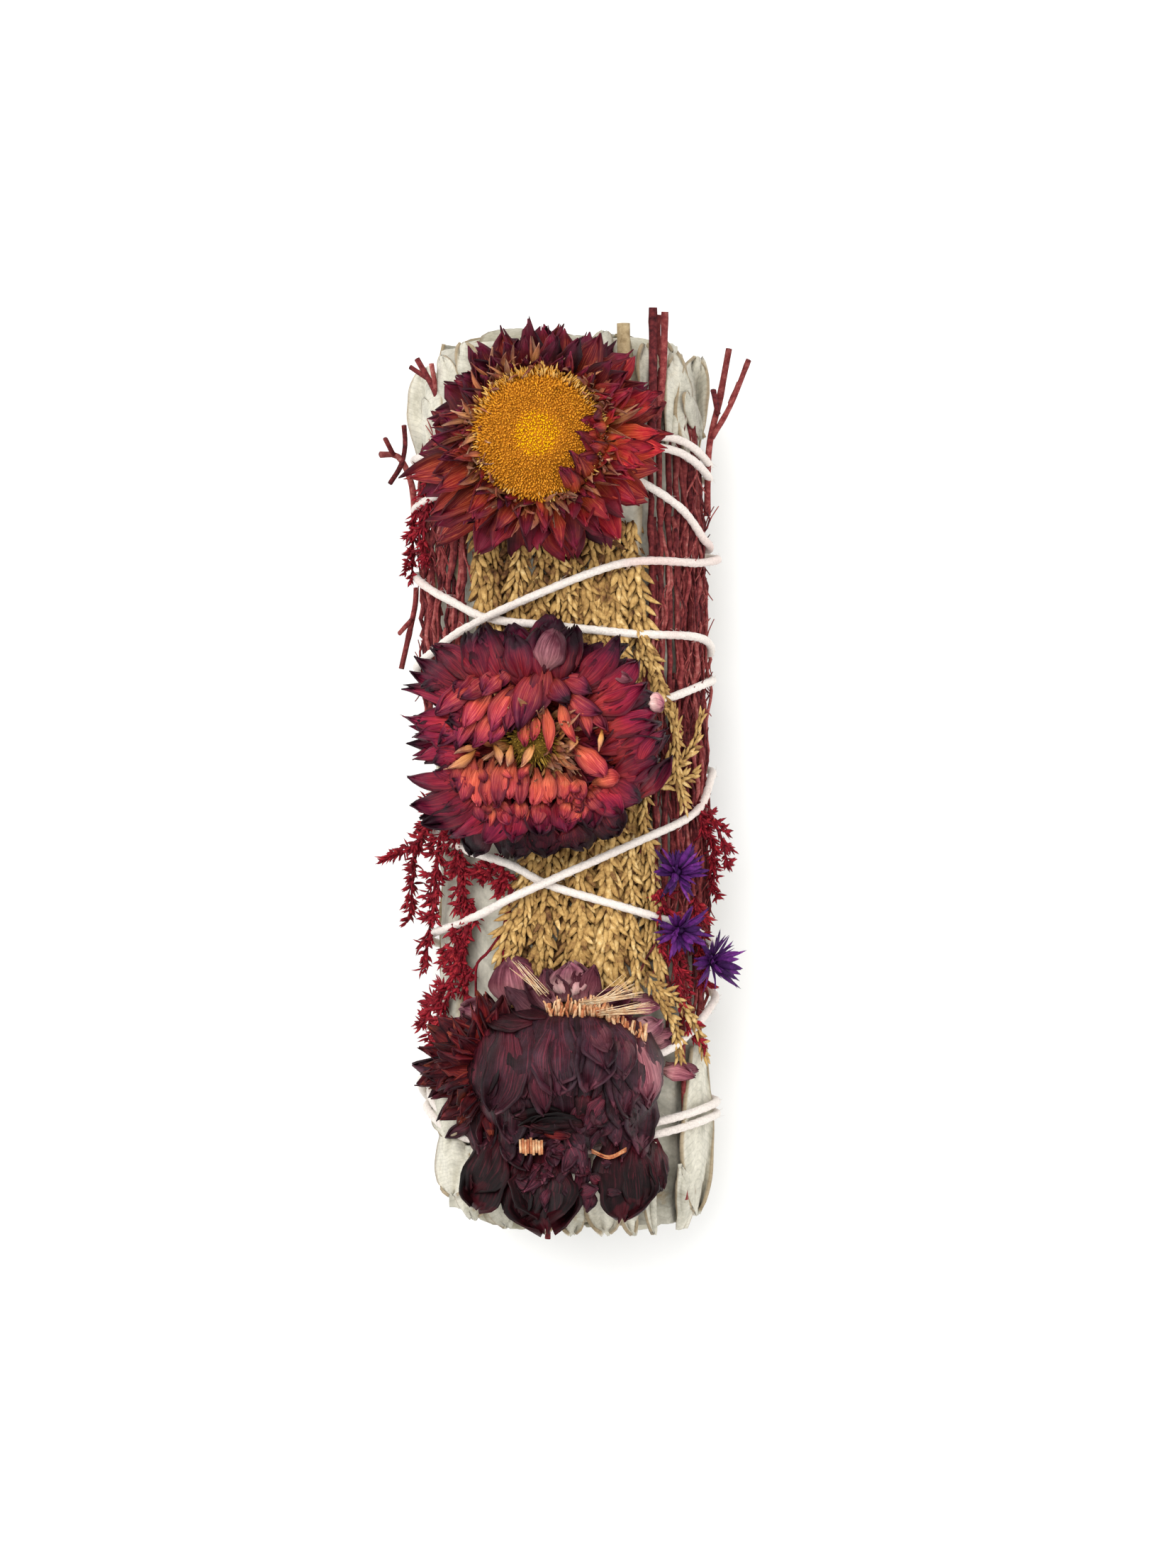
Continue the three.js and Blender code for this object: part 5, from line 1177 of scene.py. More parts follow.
# The flower at the tips: open, its broad disc packed with golden florets inside a pale fringe
tipFlower = {
    "place": (-2.6, 38.9, 3.5), "lean": (0, -3, 0), "florets": 3000, "discRadius": 7.5, "fringe": 330,
    "shreds": 190, "foldCount": 20,
    "rings": rowsOf(
        "count start height pitch curl length width blunt",
        (19, 4.6, 1.0, -2, -3, 10.4, 4.6, 0.6),
        (19, 4.8, 1.9, 5, -4, 10, 4.2, 0.55),
        (20, 5.1, 2.9, 11, -4, 9.1, 3.8, 0.5),
        (21, 5.4, 3.9, 18, -4, 7.9, 3.3, 0.4),
        (22, 5.9, 4.8, 26, -3, 6.5, 2.3, 0.25),
        (26, 6.4, 5.6, 36, -6, 4.8, 1.7, 0.25),
        (34, 6.9, 6.4, 48, -10, 3.2, 1.1, 0.25),
    ),
    "folds": {"start": 7.9, "height": 6.6, "pitch": 74, "curl": 84, "length": 6.0, "width": 1.7, "cup": 0.6,
              "wild": 1.6},
    "dome": ((0, 9.6), (1.6, 9.75), (3.2, 9.7), (5.2, 9.2), (6.8, 8.3), (7.4, 7.4)),
}
tipDome = smoothLine([Vector((r, 0, z)) for r, z in tipFlower["dome"]], 60)


def tipStretch(azimuth):
    turn = radians(azimuth)
    return 1 + 0.09 * cos(turn) - 0.04 * sin(turn) + 0.3 * facing(azimuth, 212, 32)


def tipBracts(rng, seat):
    pick = rng.uniform
    piece = {}
    for level, ring in enumerate(tipFlower["rings"]):
        for i in range(ring["count"]):
            azimuth = 360 * (i + 0.5 * (level % 2) + pick(-0.4, 0.4)) / ring["count"]
            length = ring["length"] * tipStretch(azimuth) * pick(0.82, 1.03)
            spec = dict(ring, length=length, ragged=1.2, wild=1.7)
            low = facing(azimuth, -80, 60)
            hue = clamp(facing(azimuth, -5, 65) * 1.3 * (level > 0) + 0.45 * low + pick(-0.2, 0.3))
            dim = 0.25 * facing(azimuth, 90, 70) + 0.2 * facing(azimuth, -60, 50)
            glow = 0.5 * facing(azimuth, -5, 60) + 0.25 * facing(azimuth, 190, 50)
            addBract(piece, seat, azimuth, spec, rng, clamp(0.45 - dim + glow + pick(-0.4, 0.4)), hue)
    for i in range(tipFlower["foldCount"]):
        azimuth = lerp(-60, 18, (i + rng.random()) / tipFlower["foldCount"])
        spec = dict(tipFlower["folds"], length=tipFlower["folds"]["length"] * pick(0.5, 1.05),
                    start=tipFlower["folds"]["start"] - pick(0, 0.8))
        addBract(piece, seat, azimuth, spec, rng, pick(0.2, 0.8), pick(0, 0.8))
    finishPiece(piece, "flowerTipBracts", tipBractLook, ["flower_tip_bracts"], 0.16)


def tipShreds(rng, seat):
    pick = rng.uniform
    piece = {}
    for _ in range(tipFlower["shreds"]):
        azimuth = pick(0, 360)
        level = rng.random()
        spec = {"start": lerp(6.6, 8.4, level), "height": lerp(7.4, 6.2, level), "pitch": pick(0, 95),
                "curl": pick(-70, 110), "length": pick(1.4, 4.4) * (0.7 + 0.5 * level),
                "width": pick(0.3, 0.9), "cup": 0.8, "wild": 2.2, "blunt": 0}
        addBract(piece, seat, azimuth, spec, rng, pick(0.2, 0.9), rng.random() ** 2, columns=3, rows=7)
    finishPiece(piece, "flowerTipShreds", shredLook, ["flower_tip_bracts"], 0.08)


def tipReceptacle(rng, seat):
    piece = {}
    addTurned(piece, seat, [(0, 0), (4.6, 0.3), (6, 2), (6.4, 4.4), (5.4, 6), (0, 6.2)], 40, 0.1)
    finishPiece(piece, "flowerTipReceptacle", tipBractLook, ["flower_tip_bracts"])


def tipDisc(rng, seat):
    piece = {}
    addTurned(piece, seat, [(0, 5.6), (4.6, 5.6), (7.1, 6.9), (7.3, 7.4), (6.7, 8.2), (5.1, 9), (3.2, 9.5),
                            (1.6, 9.6), (0, 9.5)], 44, 0.15)

    def toneAt(out):
        outer = rng.choice((0.2, 0.42, 0.5, 0.56, 0.62)) + rng.uniform(-0.06, 0.08)
        return lerp(outer, rng.uniform(0.86, 1.0), 1 - smoothstep(out, 1.9, 3.3))

    def heightAt(out):
        return min(tipDome, key=lambda point: abs(point.x - out)).z

    addFlorets(piece, seat, tipFlower["florets"], tipFlower["discRadius"], heightAt, rng, toneAt, (0.5, 0.95),
               (0.17, 0.28), 0.9)
    finishPiece(piece, "flowerTipDisc", goldDisc, ["flower_tip_disc"])


def tipFringe(rng, seat):
    pick = rng.uniform
    piece = {}
    turned = seat.to_3x3()
    for _ in range(tipFlower["fringe"]):
        azimuth = radians(rng.choice((pick(0, 360), rng.gauss(75, 45), rng.gauss(75, 45))))
        out = pick(6.5, 7.5)
        way = Vector((cos(azimuth), sin(azimuth), pick(0.2, 1.4)))
        way += Vector((pick(-0.4, 0.4), pick(-0.4, 0.4), 0))
        root = seat @ Vector((out * cos(azimuth), out * sin(azimuth), 7.6 + 0.9 * (7.5 - out)))
        addBud(piece, root, turned @ way, turned @ Vector((0, 0, 1)), pick(0.5, 1.5), pick(0.14, 0.26), 1.0,
               pick(0.2, 1), sides=4, rows=4, curl=pick(-0.3, 0.5))
    finishPiece(piece, "flowerTipFringe", paleGold, ["flower_tip_disc"])


tipRng = random.Random(61)
tipSeat = seatOf(tipFlower["place"], tipFlower["lean"])
for makePart in (tipBracts, tipShreds, tipReceptacle, tipDisc, tipFringe):
    makePart(tipRng, tipSeat)


# The flower in the middle: half open, its upper coral bracts folded over a small hairy centre
middleFlower = {
    "place": (-3.2, 4.4, 3.5), "lean": (5, -4, 0),
    "outer": rowsOf(
        "count start height pitch curl length width",
        (17, 4, 1.0, 0, 6, 10.4, 4.1),
        (17, 4, 1.9, 7, 4, 10.1, 4.0),
        (17, 4, 2.9, 14, 4, 9.7, 3.7),
        (17, 4, 3.8, 22, 4, 8.4, 3.4),
        (20, 4, 4.6, 31, 4, 6.8, 2.9),
        (24, 4.6, 5.6, 20, -2, 7, 3.0),
    ),
    "under": {"count": 22, "start": 3.8, "height": 4.9, "pitch": 32, "curl": -8, "length": 5.8, "width": 2.6,
              "blunt": 0.6},
    "fringe": {"pitch": 48, "curl": -20, "wild": 2.4, "blunt": 0.2}, "fringeCount": 90, "florets": 330,
    "profile": ((0, 8.3), (3, 8.8), (6, 9.1), (9, 8.9), (11.4, 7.9), (13.4, 6.2), (15.4, 3.4)),
}
middleCurve = smoothLine([Vector((out, rise, 0)) for out, rise in middleFlower["profile"]], 90)
wineShells = (
    (-8.5, 9.6, -10.8, 16.4, 1.9, 0.7, 0.8, 0.3, 0.4), (-6.4, 10, -8.9, 17, 2, 1, 0.7, 0.45, 0.5),
    (-4.6, 10, -5.8, 16.4, 2.1, 1.2, 0.8, 0.4, 0.5), (-2.4, 10, -2.4, 16.8, 2, 0.8, 0.8, 0.25, 0.3),
    (-0.4, 9.6, 0.9, 16.6, 1.8, 0.6, 0.7, 0.3, 0.3), (0.6, 9.2, 6.2, 16.2, 1.7, 1.3, 0.4, 0.5, 0.7),
    (1.6, 8.6, 7.4, 14.6, 1.6, 1, 0.4, 0.35, 0.6), (2.4, 8, 8.9, 13.2, 1.7, 0.9, 0.5, 0.5, 0.7),
    (-9.8, 9.8, -15.2, 14.6, 1.5, 0.6, 0.5, 0.3, 0.3), (-10.4, 9, -17, 13.4, 1.3, 0.8, 0.3, 0.4, 0.5),
    (2, 7, 9.4, 10.6, 1.5, 0.9, 0.3, 0.6, 0.9), (3, 6, 10.6, 9.2, 1.5, 0.6, 0.4, 0.35, 0.6),
    (3.6, 4.6, 11, 7.2, 1.5, 0.7, 0.3, 0.6, 0.9), (4.2, 2.6, 11.6, 5.6, 1.6, 0.7, 0.4, 0.5, 0.8),
    (5.2, 1.2, 11.4, 3.8, 1.6, 0.6, 0.4, 0.4, 0.7), (5.2, -0.4, 10.8, 1.8, 1.7, 0.5, 0.5, 0.3, 0.6),
    (8, -3, 12.2, 2.2, 1.2, 0.9, 0.4, 0.3, 0.5), (8.6, -0.6, 12.6, 5.2, 1.2, 0.9, 0.3, 0.45, 0.7),
    (-10, 9, -17.6, 11.8, 1.1, 0.6, 0.1, 0.45, 0.6), (-10, 7.6, -18.6, 9.7, 1.2, 0.7, 0.1, 0.5, 0.8),
    (-10.6, 5.8, -18.8, 6.8, 1, 0.8, 0.1, 0.7, 0.9), (-10.6, 4.2, -18, 3.8, 1.2, 0.6, 0.2, 0.6, 0.9),
    (-10, 0.4, -18.4, -0.2, 1.3, 0.6, 0.3, 0.5, 0.9), (-9.6, -1.6, -18, -3.4, 1.5, 0.6, 0.4, 0.35, 0.7),
    (-9.6, 2.2, -17.8, 1.6, 1.1, 0.8, 0.2, 0.6, 1), (-9, -2.6, -16.4, -5.8, 1.4, 0.4, 0.5, 0.25, 0.5),
    (-8, -2.6, -13.4, -7, 1.6, 0.4, 0.6, 0.45, 0.9), (-6.4, -2.6, -9.6, -7.8, 1.7, 0.5, 0.7, 0.4, 0.8),
    (-4.4, -2.6, -6, -7.8, 1.7, 0.5, 0.8, 0.5, 0.9), (-2.4, -2.6, -2.6, -7.4, 1.7, 0.5, 0.8, 0.35, 0.8),
    (-0.4, -2.4, 0.6, -7, 1.7, 0.4, 0.8, 0.4, 0.8), (1.6, -2, 3.6, -6.4, 1.7, 0.4, 0.8, 0.35, 0.8),
    (3, -1.4, 6.6, -4.8, 1.8, 0.4, 0.7, 0.5, 0.9), (4.6, -0.6, 8.8, -3, 1.7, 0.4, 0.7, 0.4, 0.8),
    (-9, -5, -10.6, -9.4, 2, -0.6, 0.8, 0.05, 0), (-5.6, -5, -6, -9.9, 2.1, -0.6, 0.9, 0, 0),
    (-2.2, -5, -1.8, -9.8, 2.1, -0.6, 0.9, 0.05, 0), (1.2, -4.8, 2.2, -9, 2, -0.6, 0.9, 0, 0),
    (4, -4, 6, -7.8, 1.9, -0.6, 0.8, 0.05, 0),
)
coralShells = (
    (-8.6, 11.4, -12.4, 8.2, 1.4, 0.9, 0.5, 0.35, 0), (-6.6, 11.6, -9.6, 8.4, 1.4, 1, 0.5, 0.5, 0.1),
    (-9.4, 10.4, -14.8, 6.4, 1.4, 1.1, 0.5, 0.6, 0), (-8, 10.2, -11.6, 5.4, 1.4, 1.3, 0.5, 0.85, 0.2),
    (-10.4, 7.8, -14.4, 2.9, 1.2, 0.7, 0.4, 0.5, 0), (-9.2, 7.6, -12.3, 2.7, 1.2, 0.8, 0.4, 0.7, 0.1),
    (-7.6, 7.6, -10.2, 2.7, 1.2, 0.9, 0.4, 0.75, 0.2), (-6.2, 7.6, -8.2, 3, 1.1, 0.9, 0.4, 0.6, 0.1),
    (-5.4, 10.2, -8.4, 4.8, 1.4, 1.4, 0.3, 0.85, 0.1), (-4.4, 10.6, -6.6, 4.2, 1.3, 1.4, 0.3, 0.5, 0),
    (-2.6, 12.6, -5, 4.6, 1.7, 1.5, 0.3, 0.4, 0), (-1.4, 11.2, 0.8, 8, 1.3, 1.2, 0.4, 0.25, 0),
    (-0.4, 11, 3.4, 9.2, 1.2, 1.2, 0.3, 0.35, 0.1), (0.2, 9.6, 4.6, 6.6, 1.1, 1.3, 0.3, 0.4, 0.1),
    (-2.5, 8.2, -2, 2.8, 0.7, 1, 0.5, 0.8, 0.9), (-4.2, 6.4, -4.4, 2.7, 0.8, 0.8, 0.5, 0.75, 0.8),
    (-3.4, 7, -3.6, 3.2, 0.6, 0.9, 0.4, 0.6, 0.7), (-0.2, 9, 1.1, 3.8, 0.7, 1.3, 0.6, 0.95, 1),
    (1.2, 8.6, 3.2, 4.4, 0.7, 1, 0.3, 0.6, 0.6), (2.2, 8.2, 5.2, 4.8, 0.8, 0.9, 0.3, 0.45, 0.3),
    (0.9, 3.4, 4.6, -0.3, 1.3, 1.2, 1, 0.75, 0.6), (3.3, -1.2, 6.5, -0.2, 1.1, 1, 1, 0.9, 0.9),
    (-11.7, 1.6, -12.6, -2.2, 0.9, 0.6, 0.6, 0.4, 0.2), (-10.6, 1.8, -11.2, -3.2, 1, 0.8, 0.6, 0.65, 0.4),
    (-9.4, 1.6, -10.2, -3.8, 1.1, 0.9, 0.7, 0.75, 0.5), (-8.2, 1.6, -9, -4, 1.1, 1, 0.8, 0.85, 0.8),
    (-6.8, 1.8, -7.8, -3.4, 1.1, 1.2, 0.8, 0.6, 0.5), (-5.6, 1.6, -6.4, -3.2, 1, 1.1, 0.8, 0.7, 0.7),
    (-4.4, 1.4, -4.8, -3.4, 1, 1, 0.8, 0.5, 0.5), (-3.2, 0.6, -3.4, -3.9, 1, 1.1, 0.9, 0.65, 0.6),
    (-1.8, 0.4, -1.6, -3.7, 0.9, 1.3, 0.9, 0.9, 0.9), (-0.8, 0.2, -0.2, -3.3, 0.9, 1.2, 0.9, 0.6, 0.7),
    (0.2, 0, 0.9, -3.1, 0.9, 1.1, 1, 0.8, 0.9), (1, -0.4, 2.4, -3, 1, 0.9, 0.9, 0.6, 0.6),
    (1.2, -2.4, 2.2, -5.4, 0.9, 0.8, 0.8, 0.6, 0.3), (-7, -2.6, -6, -5.8, 0.9, 0.7, 0.6, 0.5, 0.2),
    (-5, -2.6, -4.6, -5.6, 0.8, 0.9, 0.9, 0.75, 0.7), (-2.6, -2.8, -3, -5.8, 1, 0.8, 0.7, 0.4, 0.3),
    (-9.2, -2.8, -9.6, -5.8, 1.1, 0.6, 0.7, 0.4, 0.2), (2.4, -1.6, 4.8, -4.2, 0.9, 0.8, 0.7, 0.45, 0.3),
)
tornShells = (
    (-10.1, 2.6, -13.9, 0.4, 0.6, 1.4, 0.2, 0.8, 0.6), (-9.8, 3, -12.6, 2.2, 0.4, 1.2, 0.2, 0.6, 0.4),
    (-8, 3.2, -7.2, 0.8, 0.5, 1, 0.3, 0.7, 0.7), (-3.4, 3.6, -5, 0.6, 0.5, 1.2, 0.3, 0.9, 0.8),
    (-6, 3.2, -6.4, 0.6, 0.5, 1, 0.3, 0.8, 0.6), (1.6, 4.2, 0.6, 2.6, 0.5, 1.4, 0.3, 0.9, 0.7),
    (4.4, 5, 4, 2.4, 0.3, 1.4, 0.1, 1, 1),
)
paleShells = ((-2.2, 11.4, -0.8, 16.6, 2.1, 2.3, 0.7, 0.35, 0.1), (5.4, 12, 8, 10.7, 0.7, 1.5, 0.4, 0.4, 0.1),
              (9.3, 8, 11.6, 7.8, 1.1, 1.2, 1.0, 0.9, 1.0))


def middleHeight(x, y):
    centre = overFront(*middleFlower["place"])
    out = hypot(x - centre.x, y - centre.y)
    return centre.z + min(middleCurve, key=lambda point: abs(point.x - out)).y


def middleOuter(rng, seat):
    pick = rng.uniform
    piece = {}
    for level, ring in enumerate(middleFlower["outer"]):
        for i in range(ring["count"]):
            azimuth = 360 * (i + 0.5 * (level % 2) + pick(-0.3, 0.3)) / ring["count"]
            turn = radians(azimuth)
            top, low, left = facing(azimuth, 85, 80), facing(azimuth, 275, 65), facing(azimuth, 180, 60)
            spec = dict(ring, length=ring["length"] * (1 - 0.06 * cos(turn) - 0.06 * abs(sin(turn))),
                        width=ring["width"] * (1 + 0.2 * top + 0.25 * low - 0.3 * left),
                        ragged=0.25 + 0.3 * left, blunt=clamp(0.2 + 0.6 * top + 0.8 * low - 0.3 * left))
            bright = 0.45 + 0.5 * facing(azimuth, 20, 70) + 0.3 * left - 0.9 * low
            hue = clamp(bright + pick(-0.3, 0.3))
            addBract(piece, seat, azimuth, spec, rng, clamp(0.5 - 0.4 * low + pick(-0.3, 0.3)), hue)
    addShells(piece, wineShells, middleHeight, rng, petalLook)
    scatterShells(piece, 14, (-15, -10, -4, 11), (155, 210), (0.6, 1.0), (2.5, 4), (0.4, 1.2), (0.1, 0.7),
                  (0.2, 1), middleHeight, rng, tornLook)
    addTurned(piece, seat, [(0, 0), (4.4, 0.3), (5.4, 1.8), (5.2, 3.4), (4, 4.8), (0, 5)], 36, 0.1)
    finishPiece(piece, "flowerMiddleOuter", middleOuterLook,
                ["flower_middle_outer_bracts"], 0.16)


def middlePale(rng, seat):
    piece = {}
    for shell in paleShells:
        addShell(piece, shell, middleHeight, rng, petalLook)
    finishPiece(piece, "flowerMiddlePale", mauveLook, ["flower_middle_outer_bracts"], 0.16)


def middleInner(rng, seat):
    pick = rng.uniform
    piece = {}
    under = middleFlower["under"]
    for i in range(under["count"]):
        azimuth = 360 * (i + pick(0.2, 0.8)) / under["count"]
        addBract(piece, seat, azimuth, under, rng, pick(0.1, 0.6), pick(0, 0.6))
    addShells(piece, coralShells, middleHeight, rng, petalLook)
    scatterShells(piece, 18, (-10, 4, -4, 1.5), (220, 320), (0.35, 0.7), (1.5, 3), (1.0, 1.6), (0.2, 1),
                  (0.3, 1), middleHeight, rng, tornLook)
    addTurned(piece, seat, [(0, 4.9), (3.2, 4.9), (3.7, 5.5), (3.3, 6.5), (0, 6.8)], 30, 0.1)
    finishPiece(piece, "flowerMiddleInner", middleInnerLook,
                ["flower_middle_inner_bracts"], 0.15)


def middleShreds(rng, seat):
    pick = rng.uniform
    piece = {}
    for shell in tornShells:
        addShell(piece, shell, middleHeight, rng, tornLook, 6, 12)
    for _ in range(middleFlower["fringeCount"]):
        azimuth = rng.choice((pick(170, 380), pick(0, 360)))
        spec = dict(middleFlower["fringe"], start=pick(2, 4.2), length=pick(1.6, 4.2),
                    width=pick(0.3, 1.1), height=pick(6.2, 7.6))
        addBract(piece, seat, azimuth, spec, rng, pick(0.3, 1), pick(0.1, 1), columns=3, rows=7)
    finishPiece(piece, "flowerMiddleShreds", shredLook, ["flower_middle_inner_bracts"], 0.1)


def middleDisc(rng, seat):
    piece = {}
    addTurned(piece, seat, [(0, 6.9), (1.9, 6.95), (2.3, 7.5), (2.1, 8.1), (1.3, 8.5), (0, 8.6)], 24, 0.1)
    addFlorets(piece, seat, middleFlower["florets"], 2.4, lambda out: 8.5 - 0.16 * out ** 2, rng,
               lambda out: rng.random(), (0.7, 1.9), (0.12, 0.26), 1.1)
    finishPiece(piece, "flowerMiddleDisc", oliveDisc, ["flower_middle_disc"])


middleRng = random.Random(71)
middleSeat = seatOf(middleFlower["place"], middleFlower["lean"])
for makePart in (middleOuter, middlePale, middleInner, middleShreds, middleDisc):
    makePart(middleRng, middleSeat)


# The flower at the base: a closed dark head on its side, arched down to the base. A broad bract is
# [degrees round the head, half its width in degrees, start, end, lift]
baseFlower = {"x": 0.2, "axisZ": 28.9, "squash": 0.86, "flat": 14, "domePoints": 120,
              "rimSeat": (0.8, -30.4, 3.6), "redSeat": (-7.6, -34.2, 4.6), "redLean": (0, -32, 0),
              "fluff": 150, "tearFibres": 9, "crossFibres": 7}
# The head's outline: [half width, place along the bundle]
domeLine = ((3.4, -27.4), (8.2, -28.6), (10.9, -32.6), (10.9, -37), (8.2, -41), (7.2, -43.6), (9.2, -47.8),
            (10.2, -52))
domeCurve = smoothLine([Vector((out, y, 0)) for out, y in domeLine], baseFlower["domePoints"])
broadBracts = ((-15, 40, 0.1, 0.66, -0.9), (-60, 27, 0.04, 0.72, 0), (-34, 18, 0.03, 0.6, 0.1),
               (-18, 17, 0.02, 0.62, 0.45), (4, 18, 0.02, 0.6, 0.1), (26, 19, 0.03, 0.62, 0.3),
               (56, 30, 0.05, 0.74, 0.2))
redRings = rowsOf("count height pitch length width", (15, 0.1, 2, 8.6, 2.9), (15, 0.6, 10, 8, 2.7),
                  (14, 1.2, 18, 7.4, 2.5), (14, 1.8, 28, 6.6, 2.2), (12, 2.4, 38, 5.6, 1.8))
# Bristles: [root x, root y], [tip x, tip y], how many
bristles = (((2.4, -26.4), (8.4, -25.2), 34), ((4.4, -27.6), (9.6, -27), 24),
            ((-2.4, -25.4), (-5.4, -22.2), 12), ((3.4, -26.6), (7.2, -23.6), 12))
# Shells lie on the head: [root x, root y, tip x, tip y, half width, lift, blunt, tone, hue]
darkShells = (
    (-9.2, -29.6, -10.6, -38.4, 2.2, 0.5, 0.7, 0.4, 0.8), (-6.6, -28.8, -8, -38.9, 2.4, 0.9, 0.8, 0.55, 0.5),
    (-3.6, -28.4, -4.4, -37.8, 2.6, 0.6, 0.9, 0.45, 0.4), (-0.6, -28.2, -0.9, -37.2, 2.7, 1, 0.9, 0.5, 0.1),
    (2.6, -28.4, 2.9, -36.4, 2.4, 0.7, 0.8, 0.25, 0), (-5.2, -35, -6, -42.6, 2.2, 0.3, 0.6, 0.6, 0.3),
    (3.4, -28.2, 4.9, -33.6, 2.1, 1.5, 0.6, 0.75, 0), (5.9, -29.6, 6.7, -35.2, 1.8, 1.5, 0.5, 0.7, 0),
    (8.5, -30.6, 9.8, -39.4, 2, 0.5, 0.4, 0.5, 0.25), (8.4, -33.4, 7, -39.6, 1.3, 1.2, 0.3, 0.75, 0),
    (5.4, -34, 5.8, -42, 2.4, 0.4, 0.7, 0.2, 0), (9.2, -36, 8.8, -44.4, 1.9, 0.4, 0.7, 0.1, 0),
    (5.2, -36.8, 2.4, -41.4, 1.5, 1, 0.5, 0.85, 0.2), (-9.6, -37, -9.6, -44.6, 2.2, 0.4, 0.6, 0.6, 0.4),
    (-7, -39.8, -4.2, -46, 1.8, 0.7, 0.5, 0.55, 0.5), (0.2, -41.4, 2, -46.4, 1.2, 1.3, 0.3, 0.8, 0.3),
    (1.6, -41.8, -0.4, -45.8, 0.9, 1.2, 0.3, 0.7, 0.4), (-1, -44.2, -4.4, -47.8, 0.9, 1.4, 0.2, 0.8, 0.1),
    (-4, -44.8, -1.2, -46.4, 0.8, 1.1, 0.2, 0.7, 0.3), (-1.6, -47.6, -2.4, -49.6, 0.6, 1.3, 0.1, 0.9, 0),
    (0.4, -46.6, 1.4, -49.4, 0.8, 1.2, 0.2, 0.85, 0.1), (2.2, -45.2, 1.6, -48.4, 0.7, 1.2, 0.2, 0.8, 0.2),
    (-7.8, -41.6, -10, -50.6, 2.7, 0.1, 1, 0.3, 1), (-2.4, -43, -2, -52.8, 4.2, 0, 1, 0.4, 1),
    (-4.6, -43.6, -4.6, -52, 2.2, 0.5, 1, 0.3, 1), (6.2, -41.6, 6.9, -51.4, 3.5, 0.1, 1, 0.25, 1),
    (8.2, -42.6, 9, -50.6, 1.9, 0.5, 1, 0.2, 1), (10.4, -42.6, 11.2, -48.4, 1.1, 0.2, 0.9, 0.5, 1),
    (-2, -28, -7.9, -25.5, 0.9, 2.2, 0.2, 0.2, 0.8), (-3.6, -28.6, -10.4, -27.8, 1.1, 1.4, 0.2, 0.35, 0.9),
    (-11.4, -35, -17.6, -34, 1.1, 0.6, 0.4, 0.1, 0), (-10.6, -40.8, -13.8, -42.4, 0.8, 0.8, 0.1, 0.7, 0.4),
)
rimShells = (
    (8.2, -30.4, 10, -38.8, 1.7, 1.3, 0.4, 0.45, 0), (6.2, -29.6, 6.9, -35.4, 1.4, 1.7, 0.4, 0.1, 0),
    (9.6, -33, 9.6, -38, 0.9, 1.5, 0.3, 0.3, 0), (4, -28.4, 5, -31.6, 1.3, 1.7, 0.5, 0.15, 0),
)
# The same on the bed of stems and cedar round the head's top: [..., blunt, tone, hue]
mauveShells = (
    (-5.2, -27.8, -6.7, -21.9, 2.7, 1.6, 1, 0.5, 0.1), (-3.4, -27.4, -3.2, -24.2, 1.4, 1.8, 0.8, 0.35, 0),
    (0.9, -26.6, 0.6, -21.6, 2.5, 2.9, 0.6, 0.85, 0.9),
    (-7.8, -29.4, -12.2, -27.2, 1.9, 1.2, 0.8, 0.55, 0.6), (7.4, -27.5, 11.1, -27, 1, 2.2, 0.5, 0.6, 0.2),
    (7.2, -30.6, 11.4, -29, 1.5, 1.6, 0.9, 0.85, 1), (9.8, -31.4, 12.6, -30.2, 0.9, 1.6, 0.2, 0.5, 0.3),
    (11.2, -34.6, 15.4, -35.9, 1.1, 1.4, 0.5, 0.6, 0), (-10, -31, -13, -28.8, 1.1, 1, 0.4, 0.3, 0.1),
    (10.4, -32.6, 13.2, -31.4, 0.9, 1.2, 0.6, 0.3, 0.4),
)


def domeHeight(x, y):
    out = min(domeCurve, key=lambda point: abs(point.y - y)).x
    flat = lerp(out, baseFlower["flat"], 1 - smoothstep(y, -46, -41))
    aside = x - baseFlower["x"]
    fall = sqrt(max(0.0, flat * flat - aside * aside)) - (flat - out) - 1.2 * max(0.0, abs(aside) - flat)
    return baseFlower["axisZ"] + baseFlower["squash"] * fall


def bedHeight(x, y):
    return overFront(x, y, bundle["stemRise"] + 0.6).z


